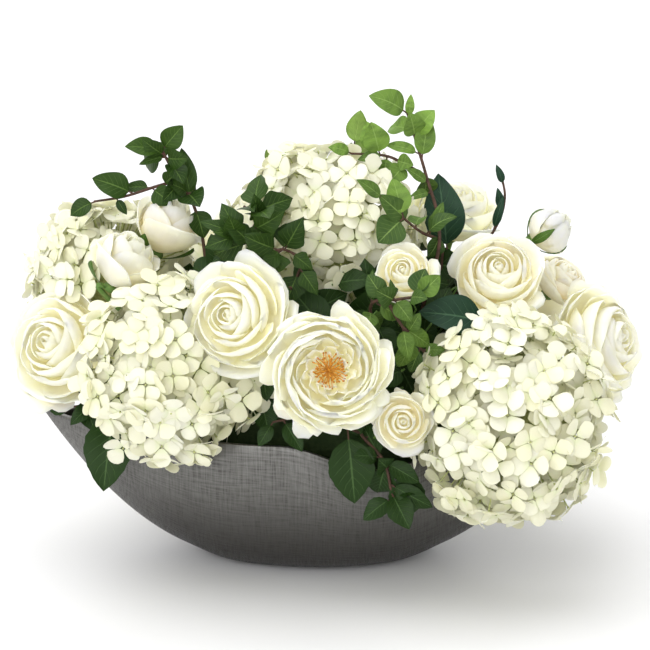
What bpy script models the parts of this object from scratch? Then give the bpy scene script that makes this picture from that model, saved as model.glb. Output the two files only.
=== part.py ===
"""A floral table centrepiece: cream roses, white hydrangeas and green sprays in a boat-shaped bowl.

Every bloom, stem, spray, the foam block and the bowl is one object. Metres, +Z up; the origin is the
middle of the flat foot that the bowl stands on, X runs along the bowl and -Y is the front.
"""
import math
import random

import bmesh
import bpy
from mathutils import Matrix, Vector
from mathutils.geometry import intersect_point_line

MM = 0.001
TOUCH_GAP = 0.0003          # between pieces that rest on each other
GOLDEN_ANGLE = math.pi * (3 - math.sqrt(5))

# --- Bowl -----------------------------------------------------------------------------------------
BOWL_HALF_LENGTH = 0.236
BOWL_HALF_DEPTH = 0.105
BOWL_HEIGHT = 0.127         # the level rim
HORN_LIFT = 0.003           # the rim's rise at each pointed end
HORN_LENGTH = 0.030
DIP_DEPTH = 0.022           # the scoop in each long side of the rim
DIP_CENTRE = 0.055
DIP_HALF_LENGTH = 0.085
FOOT_HALF_LENGTH = 0.060
FOOT_HALF_DEPTH = 0.036
BOWL_WALL = 0.004
BOWL_FLOOR = 0.005
BOWL_END_WALL = 0.012
BOWL_STATIONS = 20          # along the length
BOWL_ARC_ROWS = 4           # from the foot's edge up to the rim, on each side

# --- Foam: (height, half length, half depth) of its oval outline, from the underside up ----------------
FOAM_LEVELS = ((BOWL_FLOOR + TOUCH_GAP, 0.056, 0.030), (0.110, 0.150, 0.058), (0.150, 0.138, 0.052))
FOAM_SIDES = 12
STEM_RADIUS = 0.0024
STEM_TOP_RADIUS = 0.0038
SPRAY_STEM_RADIUS = 0.0018
LARGE_LEAF = 0.050          # a leaf has one row more over this length
SMALL_LEAF = 0.026          # and one row fewer under this one
STEM_HOLE_CLEARANCE = 0.0004
STEM_HOLE_DEEPER = 0.002

# --- Blooms: centre in mm, radius in mm, the way each faces, and its form -------------------------------
ROSES = {
    "rose_left": ((-217, -40, 197), 47, (-0.45, -0.75, 0.40), "full"),
    "rose_bud_left": ((-159, -42, 270), 29, (0.45, -0.15, 0.85), "bud"),
    "rose_half_open_left": ((-126, 0, 292), 30, (0.35, -0.10, 0.92), "bud"),
    "rose_front_left": ((-59, -141, 242), 42, (-0.40, -0.85, 0.30), "full"),
    "rose_garden": ((12, -184, 214), 51, (0.05, -0.97, 0.22), "garden"),
    "rose_small_centre": ((73, -88, 270), 24.5, (-0.15, -0.80, 0.55), "cup"),
    "rose_small_low": ((71, -152, 164), 25, (0.0, -0.95, 0.25), "cup"),
    "rose_cupped_right": ((152, -55, 261), 37, (0.0, -0.75, 0.65), "full"),
    "rose_bud_right": ((199, -14, 291), 21, (0.80, -0.10, 0.55), "bud"),
    "rose_half_open_right": ((212, 14, 242), 26, (0.55, -0.35, 0.75), "cup"),
    "rose_right": ((245, -30, 198), 47, (0.78, -0.50, 0.30), "full"),
    "rose_high_back": ((122, 62, 292), 40, (0.10, -0.30, 0.92), "full"),
    "rose_back_centre": ((0, 150, 205), 47, (0.0, 0.95, 0.30), "full"),
    "rose_back_left": ((-66, 102, 262), 36, (-0.25, 0.75, 0.60), "cup"),
    "rose_back_right": ((64, 126, 256), 34, (0.20, 0.80, 0.55), "cup"),
    "rose_back_end": ((196, 80, 214), 38, (0.65, 0.70, 0.35), "cup"),
}
HYDRANGEAS = {
    "hydrangea_left": ((-176, 30, 238), 71, (-0.35, 0.10, 0.93)),
    "hydrangea_front_left": ((-116, -87, 190), 79, (-0.15, -0.85, 0.50)),
    "hydrangea_top": ((9, 5, 285), 76, (0.0, -0.20, 0.98)),
    "hydrangea_front_right": ((157, -118, 161), 86, (0.35, -0.90, 0.25)),
    "hydrangea_back_right": ((120, 108, 166), 76, (0.35, 0.85, 0.40)),
    "hydrangea_back_left": ((-118, 108, 186), 74, (-0.30, 0.85, 0.45)),
}
# Where each bloom's stem enters the foam, in mm: x, y on its top, or lower down on its side
STEM_ENDS = {
    "rose_left": (-122, -10), "rose_bud_left": (-88, -17), "rose_half_open_left": (-92, 6),
    "rose_front_left": (-42, -34), "rose_garden": (8, -34), "rose_small_centre": (56, -26),
    "rose_small_low": (42, -32), "rose_cupped_right": (84, -20), "rose_bud_right": (104, -5),
    "rose_half_open_right": (104, 14), "rose_right": (118, -16), "rose_high_back": (78, 22),
    "rose_back_centre": (0, 36), "rose_back_left": (-42, 32), "rose_back_right": (38, 32),
    "rose_back_end": (112, 26), "hydrangea_left": (-112, 6),
    "hydrangea_front_left": (-76, -28), "hydrangea_top": (4, 2), "hydrangea_front_right": (90, -34),
    "hydrangea_back_right": (76, 36), "hydrangea_back_left": (-76, 34),
}
STEM_DEPTH_IN_FOAM = 0.022

# A rose's layers, in shares of its radius: petals, half width in degrees, three distances from its axis
# and three heights from root to lip, and how far the sides of the lip droop
ROSE_FORMS = {
    "full": (((5, 42, (0.04, 0.80, 1.00), (-0.60, -0.32, 0.05), 0.16),
              (4, 52, (0.04, 0.66, 0.70), (-0.58, -0.16, 0.30), 0.10),
              (3, 68, (0.04, 0.46, 0.40), (-0.52, -0.04, 0.46), 0.06)), (0.24, 0.20, 0.44)),
    "garden": (((5, 42, (0.04, 0.78, 1.00), (-0.56, -0.34, -0.02), 0.12),
                (5, 42, (0.04, 0.64, 0.80), (-0.54, -0.22, 0.18), 0.06),
                (4, 50, (0.04, 0.48, 0.56), (-0.50, -0.14, 0.24), 0.06)), (0.24, 0.30, -0.06)),
    "cup": (((4, 52, (0.04, 0.76, 0.92), (-0.66, -0.26, 0.24), 0.20),
             (3, 66, (0.04, 0.52, 0.50), (-0.60, -0.08, 0.52), 0.10)), (0.30, 0.26, 0.56)),
    "bud": (((3, 62, (0.04, 0.64, 0.52), (-0.84, -0.24, 0.62), 0.34),
             (2, 88, (0.04, 0.46, 0.22), (-0.80, -0.10, 0.94), 0.20)), (0.34, 0.34, 0.86)),
}
ROSE_PINWHEEL = 0.15        # how much wider one side of a petal stands than the other
PETAL_THICKNESS = 0.0018
STAMENS = 12
# Sepals: how many, the first one's angle in degrees, then distances and heights like a petal's
SEPALS = {
    "rose_bud_right": (3, 100, (0.06, 0.94, 0.98), (-1.02, -0.38, 0.32)),
    "rose_half_open_left": (2, 170, (0.06, 0.88, 1.16), (-1.00, -0.52, -0.10)),
    "rose_bud_left": (2, 150, (0.06, 0.88, 1.16), (-1.00, -0.52, -0.10)),
    "rose_small_low": (3, 60, (0.06, 0.60, 1.16), (-0.80, -0.60, -0.20)),
}
SEPAL_SPACING = 75          # degrees

FLORETS_ON_HEAD = 30
FLORET_RADIUS = 0.34        # in shares of the head's radius, as are the next five
FLORET_NOTCH = 0.19
FLORET_TIP_AT = 0.93
FLORET_ROOT_AT = 0.36
HEAD_CORE = 0.64
HEAD_FOOT = 0.80            # how far down the core its flat underside is
HEAD_COVER = 0.84           # the share of the half turn from the head's top to its stem that has florets

# --- Sprays ---------------------------------------------------------------------------------------
# Finish, then stems as points in mm, of which the first stem starts on the foam, then each leaf's root
# and tip in mm, its width in mm and its roll in degrees
SPRAYS = {
    "spray_tall": ("leaf_green", (
        ((68, -14, 150), (100, -42, 263), (104, -22, 300), (95, -8, 333), (85, -2, 366), (78, 0, 388)),
        ((94, -7, 336), (76, -6, 346), (59, -4, 353), (31, 0, 354)),
        ((102, -29, 287), (88, -50, 297), (73, -68, 312)),
    ), (
        ((78, 0, 388), (45, -6, 404), 24, 20),
        ((79, 0, 384), (81, 4, 404), 8, 0),
        ((84, -2, 368), (79, -12, 391), 20, 10),
        ((90, -5, 349), (96, 2, 386), 18, 0),
        ((55, -3, 353), (47, -6, 382), 23, 0),
        ((58, -4, 353), (36, -10, 350), 11, 40),
        ((61, -4, 352), (58, -6, 336), 13, 0),
        ((68, -5, 349), (83, -12, 346), 15, 30),
        ((89, -4, 354), (59, 0, 361), 11, 50),
        ((96, -9, 330), (76, -14, 344), 10, 20),
        ((98, -12, 323), (79, -16, 318), 9, 20),
        ((73, -68, 312), (64, -60, 344), 21, 0),
        ((73, -68, 312), (52, -76, 293), 28, 0),
        ((95, -40, 292), (107, -34, 319), 11, 30),
        ((78, -62, 307), (32, -82, 346), 11, 0),
        ((31, 0, 354), (11, -4, 360), 12, 10),
    )),
    "spray_left": ("leaf_green", (
        ((-80, -4, 150), (-90, -10, 228), (-95, -8, 281), (-104, -2, 313), (-116, 0, 331), (-129, 0, 357)),
        ((-116, 0, 331), (-135, -2, 326), (-161, -4, 318), (-187, -6, 314)),
    ), (
        ((-129, 0, 357), (-160, -6, 361), 18, 20),
        ((-129, 0, 357), (-111, 0, 378), 20, 10),
        ((-105, -2, 315), (-113, 6, 358), 18, 0),
        ((-126, 0, 351), (-148, -8, 346), 9, 30),
        ((-153, -3, 320), (-188, -6, 334), 24, 10),
        ((-138, -2, 325), (-162, 8, 323), 12, 30),
        ((-128, -1, 328), (-115, -10, 340), 15, 20),
        ((-138, -2, 325), (-120, -10, 312), 19, 20),
        ((-186, -6, 314), (-207, -8, 302), 17, 10),
        ((-168, -5, 317), (-159, -8, 303), 8, 10),
    )),
    "spray_centre": ("leaf_green", (
        ((-30, -22, 150), (-38, -66, 225), (-43, -81, 278), (-56, -85, 297), (-67, -85, 304)),
        ((-43, -81, 278), (-28, -83, 289), (-14, -81, 284)),
        ((-56, -85, 297), (-46, -77, 316), (-58, -73, 323)),
        ((-38, -66, 225), (-20, -64, 240), (-12, -87, 274)),
        ((-20, -64, 240), (-19, -95, 260)),
    ), (
        ((-13, -85, 271), (-25, -95, 242), 24, 0),
        ((-12, -87, 274), (3, -95, 253), 18, 0),
        ((-19, -95, 260), (-38, -107, 261), 15, 0),
        ((-66, -85, 303), (-94, -81, 312), 14, 10),
        ((-61, -85, 300), (-76, -75, 326), 22, 0),
        ((-64, -85, 302), (-82, -97, 306), 13, 10),
        ((-62, -85, 301), (-90, -87, 291), 19, 0),
        ((-54, -85, 295), (-52, -87, 269), 20, 0),
        ((-52, -84, 291), (-37, -79, 315), 20, 10),
        ((-27, -83, 288), (-13, -81, 313), 28, 0),
        ((-29, -83, 288), (-33, -91, 269), 24, 0),
        ((-19, -82, 286), (-1, -85, 272), 16, 0),
    )),
    "spray_right": ("leaf_green", (
        ((52, -18, 150), (50, -76, 212), (46, -116, 251), (66, -121, 256), (84, -122, 259)),
        ((59, -119, 254), (71, -122, 234), (89, -116, 211)),
    ), (
        ((83, -122, 259), (101, -120, 276), 18, 10),
        ((46, -116, 251), (47, -112, 279), 9, 0),
        ((64, -121, 256), (61, -122, 273), 6, 0),
        ((64, -121, 256), (78, -128, 239), 16, 0),
        ((50, -117, 252), (72, -110, 238), 15, 30),
        ((71, -122, 234), (76, -128, 207), 14, 0),
        ((72, -122, 233), (94, -112, 215), 15, 0),
        ((88, -116, 213), (106, -120, 214), 11, 20),
        ((86, -117, 215), (78, -112, 193), 13, 0),
    )),
    "leaf_large_right": ("leaf_sage", (
        ((92, -26, 150), (126, -64, 210), (141, -84, 228)),
    ), (
        ((141, -84, 228), (85, -90, 238), 34, 62),
    )),
    "spray_grey_back": ("leaf_sage", (
        ((96, 3, 150), (102, 5, 200), (107, 6, 240), (110, 8, 272)),
        ((102, 5, 200), (138, 3, 262), (157, 8, 294), (162, 10, 314), (160, 12, 329)),
    ), (
        ((110, 8, 272), (98, 12, 334), 32, 0),
        ((160, 12, 326), (154, 10, 343), 7, 0),
        ((159, 9, 304), (155, 4, 324), 8, 0),
        ((153, 7, 288), (160, 0, 318), 8, 0),
    )),
    "spray_over_rim": ("leaf_green", (
        ((26, -32, 150), (30, -58, 162), (34, -84, 158), (38, -108, 140), (57, -122, 120), (64, -121, 88)),
        ((38, -108, 140), (27, -116, 147)),
        ((58, -122, 116), (78, -118, 113)),
        ((34, -84, 158), (-6, -94, 152), (-34, -106, 149)),
    ), (
        ((-34, -106, 149), (-46, -112, 130), 13, 0),
        ((-26, -102, 150), (-10, -114, 126), 16, 0),
        ((27, -116, 147), (33, -122, 84), 39, 0),
        ((57, -122, 120), (86, -128, 104), 17, 0),
        ((61, -121, 101), (97, -126, 82), 18, 20),
        ((77, -118, 113), (75, -116, 70), 31, 0),
        ((64, -121, 89), (40, -126, 71), 18, 20),
        ((54, -120, 123), (31, -126, 126), 16, 30),
    )),
    "spray_left_end": ("leaf_green", (
        ((-100, -27, 150), (-112, -34, 168), (-146, -43, 165), (-168, -60, 150)),
        ((-146, -43, 165), (-182, -44, 149), (-204, -42, 144)),
    ), (
        ((-168, -60, 150), (-177, -84, 82), 42, 0),
        ((-204, -42, 144), (-229, -36, 145), 20, 0),
        ((-186, -44, 148), (-206, -60, 133), 15, 0),
    )),
    "spray_back_tall": ("leaf_green", (
        ((12, 30, 150), (22, 88, 225), (28, 92, 290), (34, 88, 345)),
        ((28, 92, 290), (2, 104, 318)),
        ((22, 88, 225), (-34, 80, 290), (-35, 50, 333)),
    ), (
        ((-35, 50, 333), (-42, 44, 350), 11, 0),
        ((-35, 51, 332), (-22, 60, 345), 10, 0),
        ((34, 88, 345), (40, 84, 378), 19, 0),
        ((33, 89, 334), (60, 100, 350), 21, 0),
        ((31, 90, 318), (62, 92, 312), 20, 0),
        ((2, 104, 318), (-24, 112, 330), 21, 0),
        ((10, 100, 310), (-12, 120, 298), 18, 0),
        ((28, 92, 285), (34, 122, 300), 20, 0),
    )),
    "spray_back_rim": ("leaf_green", (
        ((-30, 34, 150), (-40, 60, 162), (-50, 88, 156), (-57, 112, 138)),
        ((-50, 88, 156), (-20, 114, 140)),
    ), (
        ((-57, 112, 138), (-62, 126, 84), 41, 0),
        ((-55, 105, 143), (-92, 122, 112), 28, 0),
        ((-21, 113, 140), (-8, 128, 92), 33, 0),
        ((-33, 103, 147), (-34, 130, 128), 26, 0),
    )),
    "spray_back_right": ("leaf_green", (
        ((50, 34, 150), (52, 92, 172), (60, 128, 186)),
        ((52, 92, 172), (44, 122, 146)),
    ), (
        ((60, 128, 186), (74, 164, 190), 28, 0),
        ((58, 120, 183), (28, 142, 152), 20, 0),
        ((44, 122, 146), (40, 138, 100), 35, 0),
        ((47, 112, 154), (70, 132, 128), 24, 0),
    )),
    "spray_back_end": ("leaf_green", (
        ((122, 13, 150), (130, 22, 170), (164, 38, 166), (196, 44, 156)),
    ), (
        ((196, 44, 156), (226, 58, 130), 29, 0),
        ((188, 42, 159), (214, 20, 138), 23, 0),
        ((179, 41, 161), (196, 72, 134), 23, 0),
    )),
}

# --- Colours: (red, green, blue), roughness, metallic ------------------------------------------------
FINISHES = {
    "brushed_pewter": ((0.30, 0.29, 0.28), 0.45, 0.8),
    "foam_green": ((0.10, 0.16, 0.08), 0.95, 0.0),
    "rose_cream": ((0.90, 0.86, 0.70), 0.60, 0.0),
    "hydrangea_white": ((0.88, 0.89, 0.80), 0.60, 0.0),
    "stamen_amber": ((0.75, 0.42, 0.10), 0.70, 0.0),
    "stem_green": ((0.16, 0.28, 0.09), 0.60, 0.0),
    "leaf_green": ((0.07, 0.22, 0.06), 0.45, 0.0),
    "leaf_sage": ((0.22, 0.30, 0.26), 0.55, 0.0),
}


def clear_scene():
    for obj in list(bpy.data.objects):
        bpy.data.objects.remove(obj)


def finish(name):
    """The material of that finish, made on first use."""
    found = bpy.data.materials.get(name)
    if found:
        return found
    colour, roughness, metallic = FINISHES[name]
    made = bpy.data.materials.new(name)
    made.use_nodes = True
    shader = made.node_tree.nodes["Principled BSDF"]
    shader.inputs["Base Color"].default_value = (*colour, 1)
    shader.inputs["Roughness"].default_value = roughness
    shader.inputs["Metallic"].default_value = metallic
    made.diffuse_color = (*colour, 1)
    return made


def object_from(name, bm, finish_name=None):
    """A new object that holds the closed shape bm, with its faces pointing out."""
    bmesh.ops.recalc_face_normals(bm, faces=bm.faces)
    mesh = bpy.data.meshes.new(name)
    bm.to_mesh(mesh)
    bm.free()
    if finish_name:
        mesh.materials.append(finish(finish_name))
    made = bpy.data.objects.new(name, mesh)
    bpy.context.scene.collection.objects.link(made)
    return made


def combine(body, tools, operation, solver):
    """Applies one Boolean of body with all the tools, and removes the tools."""
    group = bpy.data.collections.new(body.name + "_tools")
    bpy.context.scene.collection.children.link(group)
    for tool in tools:
        bpy.context.scene.collection.objects.unlink(tool)
        group.objects.link(tool)
    modifier = body.modifiers.new("combine", "BOOLEAN")
    modifier.operation = operation
    modifier.solver = solver
    modifier.operand_type = "COLLECTION"
    modifier.collection = group
    bpy.context.view_layer.update()
    evaluated = body.evaluated_get(bpy.context.evaluated_depsgraph_get())
    result = bpy.data.meshes.new_from_object(evaluated)
    body.modifiers.remove(modifier)
    body.data = result
    for tool in tools:
        bpy.data.objects.remove(tool)
    bpy.data.collections.remove(group)
    return body


def fuse(name, pieces, finish_name):
    """One object from pieces that grow into each other. They are many and thin, so MANIFOLD joins them."""
    body, *rest = pieces
    body.name = name
    if rest:
        combine(body, rest, "UNION", "MANIFOLD")
    body.data.materials.clear()
    body.data.materials.append(finish(finish_name))
    return body


# --- Shapes that several pieces share ----------------------------------------------------------------


def interpolate(values, v):
    """The value at v, from 0 to 1, along evenly spaced values."""
    place = min(max(v, 0), 1) * (len(values) - 1)
    i = min(int(place), len(values) - 2)
    return values[i] + (values[i + 1] - values[i]) * (place - i)


def blade(surface, columns, rows, thickness, root_thickness=0.0):
    """A petal or leaf: two sheets that follow surface(u, v), thickness apart inside and closed at the edge.

    u runs from -1 to 1 across and v from 0 at the root to 1 at the tip. With a root_thickness, the middle of
    the root is that thick too, so that a thin stalk doesn't vanish.
    """
    bm = bmesh.new()
    step = 0.01
    for side in (1, -1):
        sheet = bmesh.ops.create_grid(bm, x_segments=columns, y_segments=rows, size=1)["verts"]
        for corner in [vert for vert in sheet if len(vert.link_faces) == 1]:
            loop = next(loop for loop in corner.link_loops)
            bmesh.utils.face_split(loop.face, corner, loop.link_loop_next.link_loop_next.vert)
        faces = list({face for vert in sheet for face in vert.link_faces if len(face.verts) > 3})
        bmesh.ops.triangulate(bm, faces=faces, quad_method="FIXED")
        for vert in sheet:
            u, v = vert.co.x, (vert.co.y + 1) / 2
            vert.co = surface(u, v)
            depth = thickness if v > 0.001 else root_thickness
            if abs(u) < 0.999 and v < 0.999 and depth:
                across = surface(u + step, v) - surface(u - step, v)
                along = surface(u, v + step) - surface(u, max(v - step, 0))
                vert.co += across.cross(along).normalized() * side * depth / 2
    bmesh.ops.remove_doubles(bm, verts=bm.verts, dist=1e-6)
    bmesh.ops.holes_fill(bm, edges=[edge for edge in bm.edges if edge.is_boundary])
    return bm


def lathe(rings, sides):
    """A closed round body from (radius, height) rings, listed from the bottom up."""
    bm = bmesh.new()
    rows = len(rings) - 1
    for vert in bmesh.ops.create_grid(bm, x_segments=sides, y_segments=rows, size=1)["verts"]:
        radius, height = rings[round((vert.co.y + 1) / 2 * rows)]
        turn = math.pi * vert.co.x
        vert.co = (radius * math.cos(turn), radius * math.sin(turn), height)
    bmesh.ops.remove_doubles(bm, verts=bm.verts, dist=1e-6)
    bmesh.ops.holes_fill(bm, edges=[edge for edge in bm.edges if edge.is_boundary])
    return bm


def tube(name, points, radii):
    """A stem through the points, as a bevelled curve turned into a mesh, with one radius for each point."""
    curve = bpy.data.curves.new(name, "CURVE")
    curve.dimensions = "3D"
    curve.bevel_depth = 1
    curve.bevel_resolution = 0
    curve.use_fill_caps = True
    spline = curve.splines.new("POLY")
    spline.points.add(len(points) - 1)
    for point, place, radius in zip(spline.points, points, radii):
        point.co = (*place, 1)
        point.radius = radius
    guide = bpy.data.objects.new(name, curve)
    bpy.context.scene.collection.objects.link(guide)
    bpy.context.view_layer.update()
    evaluated = guide.evaluated_get(bpy.context.evaluated_depsgraph_get())
    bm = bmesh.new()
    bm.from_mesh(evaluated.to_mesh())
    evaluated.to_mesh_clear()
    bpy.data.objects.remove(guide)
    bmesh.ops.remove_doubles(bm, verts=bm.verts, dist=1e-6)
    return object_from(name, bm)


def aim(facing, base, turn=0.0):
    """The matrix that stands a piece at base with its own +Z along facing."""
    upright = Vector(facing).to_track_quat("Z", "Y").to_matrix().to_4x4()
    return Matrix.Translation(base) @ upright @ Matrix.Rotation(turn, 4, "Z")


def leaf(base, tip, width, roll=0.0, arch=0.10, thickness=0.0018):
    """A pointed leaf on its own short stalk, arched, and rolled about its length in radians."""
    base, tip = Vector(base), Vector(tip)
    along = tip - base
    outlook = Vector((0, -1 if base.y < 0.045 else 1, 0.45))
    across = Matrix.Rotation(roll, 3, along.normalized()) @ along.cross(outlook).normalized()
    face = across.cross(along).normalized()
    if along.length > LARGE_LEAF:
        widths = (0.0006, 0.0012, width / 2, width * 0.36, 0)
        stations = (0, 0.16, 0.46, 0.74, 1)
    elif along.length > SMALL_LEAF:
        widths = (0.0006, width * 0.40, width * 0.44, 0)
        stations = (0, 0.34, 0.66, 1)
    else:
        widths = (0.0006, width / 2, 0)
        stations = (0, 0.5, 1)

    def surface(u, v):
        share = interpolate(stations, v)
        half = interpolate(widths, v)
        lift = arch * along.length * math.sin(math.pi * share) + 0.22 * half * abs(u)
        return base + along * share + across * half * u + face * lift

    return object_from("leaf", blade(surface, 2, len(stations) - 1, thickness, root_thickness=0.0012))


# --- Bowl ---------------------------------------------------------------------------------------------


def rim_height(x, side):
    """The rim's height at x on the front (-1) or back (1) wall. The walls are alike, turned half round."""
    horn = HORN_LIFT * max(0, 1 - (BOWL_HALF_LENGTH - abs(x)) / HORN_LENGTH) ** 2
    away = (x + side * DIP_CENTRE) / DIP_HALF_LENGTH
    dip = DIP_DEPTH * math.cos(away * math.pi / 2) ** 2 if abs(away) < 1 else 0
    return BOWL_HEIGHT + horn - dip


def hull(half_length, half_depth, floor, foot, above_rim):
    """A closed boat hull: a parabolic keel, quarter-ellipse sides and a lid above_rim over the rim."""
    half_rows = 1 + BOWL_ARC_ROWS + (1 if above_rim else 0)
    tip_height = rim_height(half_length, 1)

    def place(along, across):
        """The point at station along, -1 to 1, and row across, -half_rows to half_rows."""
        share = abs(along) * BOWL_STATIONS / 2
        foot_steps = 2
        if share <= foot_steps:
            x = FOOT_HALF_LENGTH * share / foot_steps
        else:
            sweep = (share - foot_steps) / (BOWL_STATIONS / 2 - foot_steps)
            x = FOOT_HALF_LENGTH + (half_length - FOOT_HALF_LENGTH) * math.sin(sweep * math.pi / 2)
        run = max(0, x - FOOT_HALF_LENGTH) / (half_length - FOOT_HALF_LENGTH)
        keel = floor + (tip_height - floor) * run ** 2
        width = half_depth * max(0, 1 - (x / half_length) ** 2)
        flat = min(foot * math.sqrt(max(0, 1 - (x / (half_length * 0.42)) ** 2)), width)
        x = math.copysign(x, along)
        side = math.copysign(1, across)
        row = round(abs(across))
        if row <= 1:
            return Vector((x, side * flat * row, keel))
        climb = min((row - 1) / BOWL_ARC_ROWS, 1) * math.pi / 2
        lift = above_rim if row > 1 + BOWL_ARC_ROWS else 0
        if above_rim and row == 1 + BOWL_ARC_ROWS:
            lift = 0.001        # so that the cut passes the rim cleanly
        return Vector((x, side * (flat + (width - flat) * math.sin(climb)),
                       keel + (max(rim_height(x, side), keel) - keel) * (1 - math.cos(climb)) + lift))

    bm = bmesh.new()
    skin = bmesh.ops.create_grid(bm, x_segments=BOWL_STATIONS, y_segments=2 * half_rows, size=1)["verts"]
    lid = bmesh.ops.create_grid(bm, x_segments=BOWL_STATIONS, y_segments=1, size=1)["verts"]
    for vert in skin + lid:
        vert.co = place(vert.co.x, vert.co.y * half_rows)
    bmesh.ops.triangulate(bm, faces=bm.faces)
    bmesh.ops.remove_doubles(bm, verts=bm.verts, dist=1e-5)
    return bm


def make_bowl():
    shell = hull(BOWL_HALF_LENGTH, BOWL_HALF_DEPTH, 0, FOOT_HALF_DEPTH, 0)
    bowl = object_from("bowl", shell, "brushed_pewter")
    hollow = object_from("hollow", hull(BOWL_HALF_LENGTH - BOWL_END_WALL, BOWL_HALF_DEPTH - BOWL_WALL,
                                        BOWL_FLOOR, FOOT_HALF_DEPTH - BOWL_WALL / 2, 0.05))
    return combine(bowl, [hollow], "DIFFERENCE", "EXACT")


# --- Blooms -------------------------------------------------------------------------------------------


def rose(name, centre, radius, facing, form, turn):
    """A rose: layers of cupped petals round a core whose flat underside meets the stem."""
    layers, (core_foot, core_belly, core_top) = ROSE_FORMS[form]
    low = layers[0][3][0] - 0.04
    rings = ((core_foot * 0.6, low), (core_foot, (low + core_top) * 0.35), (core_belly, core_top * 0.6),
             (core_belly * 0.35, core_top))
    pieces = [object_from("core", lathe(rings, 6))]
    for layer, (count, half_width, distances, heights, droop) in enumerate(layers):
        for petal in range(count):
            middle = 2 * math.pi * (petal + 0.5 * layer) / count

            def surface(u, v):
                spread = math.radians(half_width) * interpolate((0, 1, 0.66), v)
                angle = middle + spread * u
                distance = interpolate(distances, v) * (1 + ROSE_PINWHEEL * u * v)
                height = interpolate(heights, v) - droop * v * v * u * u
                return Vector((distance * math.cos(angle), distance * math.sin(angle), height)) * radius

            pieces.append(object_from("petal", blade(surface, 2, 2, PETAL_THICKNESS)))
    pieces[0].data.transform(Matrix.Scale(radius, 4))
    made = fuse(name, pieces, "rose_cream")
    made.data.transform(aim(facing, centre, turn))
    return made


def rose_foot(name):
    """The middle of a rose's flat underside, and the way the rose faces."""
    centre, radius, facing, form = ROSES[name]
    facing = Vector(facing).normalized()
    low = ROSE_FORMS[form][0][0][3][0] - 0.04
    return Vector(centre) * MM + facing * radius * MM * low, facing


def head_foot(name):
    """The middle of a hydrangea core's flat underside, and the way the head faces."""
    centre, radius, facing = HYDRANGEAS[name]
    facing = Vector(facing).normalized()
    return Vector(centre) * MM - facing * radius * MM * HEAD_CORE * HEAD_FOOT, facing


def hydrangea(name, centre, radius, facing, turn, keep_clear):
    """A rounded head: four-petalled florets that stand out of a core, left out wherever another piece is."""
    core = bmesh.new()
    bmesh.ops.create_icosphere(core, subdivisions=1, radius=HEAD_CORE)
    low = -HEAD_CORE * HEAD_FOOT
    bmesh.ops.bisect_plane(core, geom=core.verts[:] + core.edges[:] + core.faces[:], dist=1e-6,
                           plane_co=(0, 0, low), plane_no=(0, 0, -1), clear_outer=True)
    bmesh.ops.holes_fill(core, edges=[edge for edge in core.edges if edge.is_boundary])
    pieces = [object_from("core", core)]
    stand = aim(facing, centre, turn)
    chance = random.Random(name)
    for i in range(FLORETS_ON_HEAD):
        rise = 1 - (1 - math.cos(math.pi * HEAD_COVER)) * (i + 0.5) / FLORETS_ON_HEAD
        around = GOLDEN_ANGLE * i
        level = math.sqrt(1 - rise * rise)
        outward = Vector((level * math.cos(around), level * math.sin(around), rise))
        spin = chance.uniform(0, math.pi / 2)
        tip_at = FLORET_TIP_AT + chance.uniform(-0.04, 0.07)
        # the floret's outline at its root, half way up and at its petals
        reaches = ((HEAD_CORE + 0.03, 0.05), ((HEAD_CORE + tip_at) / 2, 0.14),
                   (tip_at - 0.02, FLORET_RADIUS * 0.85))
        if any(is_near(stand @ (outward * radius * at), radius * reach, keep_clear) for at, reach in reaches):
            continue
        floret = bmesh.new()
        rim = bmesh.ops.create_circle(floret, segments=8, radius=1)["verts"]
        for k, vert in enumerate(rim):
            reach, at = (FLORET_RADIUS, tip_at) if k % 2 == 0 else (FLORET_NOTCH, tip_at - 0.05)
            angle = spin + k * math.pi / 4
            vert.co = (reach * math.cos(angle), reach * math.sin(angle), at)
        for at in (tip_at - 0.07, FLORET_ROOT_AT):
            middle = floret.verts.new((0, 0, at))
            for k in range(8):
                floret.faces.new((rim[k], rim[(k + 1) % 8], middle))
        bmesh.ops.transform(floret, matrix=aim(outward, (0, 0, 0)), verts=floret.verts)
        pieces.append(object_from("floret", floret))
    for piece in pieces:
        piece.data.transform(Matrix.Scale(radius, 4))
    made = fuse(name, pieces, "hydrangea_white")
    made.data.transform(stand)
    return made


def is_near(point, reach, rods):
    """Whether a floret of that reach at the point would meet the bowl, the foam or one of the rods."""
    return (near_bowl(point, reach + 0.001) or near_foam(point, reach + 0.001)
            or any(distance_to(point, *rod) < reach for rod in rods))


def near_bowl(point, clearance):
    """Whether the point is that close to the bowl's wall."""
    x = abs(point.x)
    if x > BOWL_HALF_LENGTH or point.z > rim_height(point.x, math.copysign(1, point.y)) + clearance:
        return False
    rim = BOWL_HALF_DEPTH * (1 - (x / BOWL_HALF_LENGTH) ** 2)
    run = max(0, x - FOOT_HALF_LENGTH) / (BOWL_HALF_LENGTH - FOOT_HALF_LENGTH)
    keel = BOWL_HEIGHT * run ** 2
    sunk = min(1, max(0, (BOWL_HEIGHT - point.z) / (BOWL_HEIGHT - keel + 1e-6)))
    wall = rim * math.sqrt(1 - sunk ** 2)
    return abs(abs(point.y) - wall) < clearance + BOWL_WALL


def near_foam(point, clearance):
    """Whether the point is that close to the foam, or inside it."""
    _, half_length, half_depth = FOAM_LEVELS[1]
    spread = (point.x / (half_length + clearance)) ** 2 + (point.y / (half_depth + clearance)) ** 2
    return point.z < FOAM_LEVELS[-1][0] + clearance and spread < 1


def distance_to(point, start, end, radius):
    """How far a point is from a round-ended rod."""
    if (end - start).length < 1e-9:
        return (point - start).length - radius
    nearest, share = intersect_point_line(point, start, end)
    nearest = start if share < 0 else end if share > 1 else nearest
    return (point - nearest).length - radius


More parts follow.
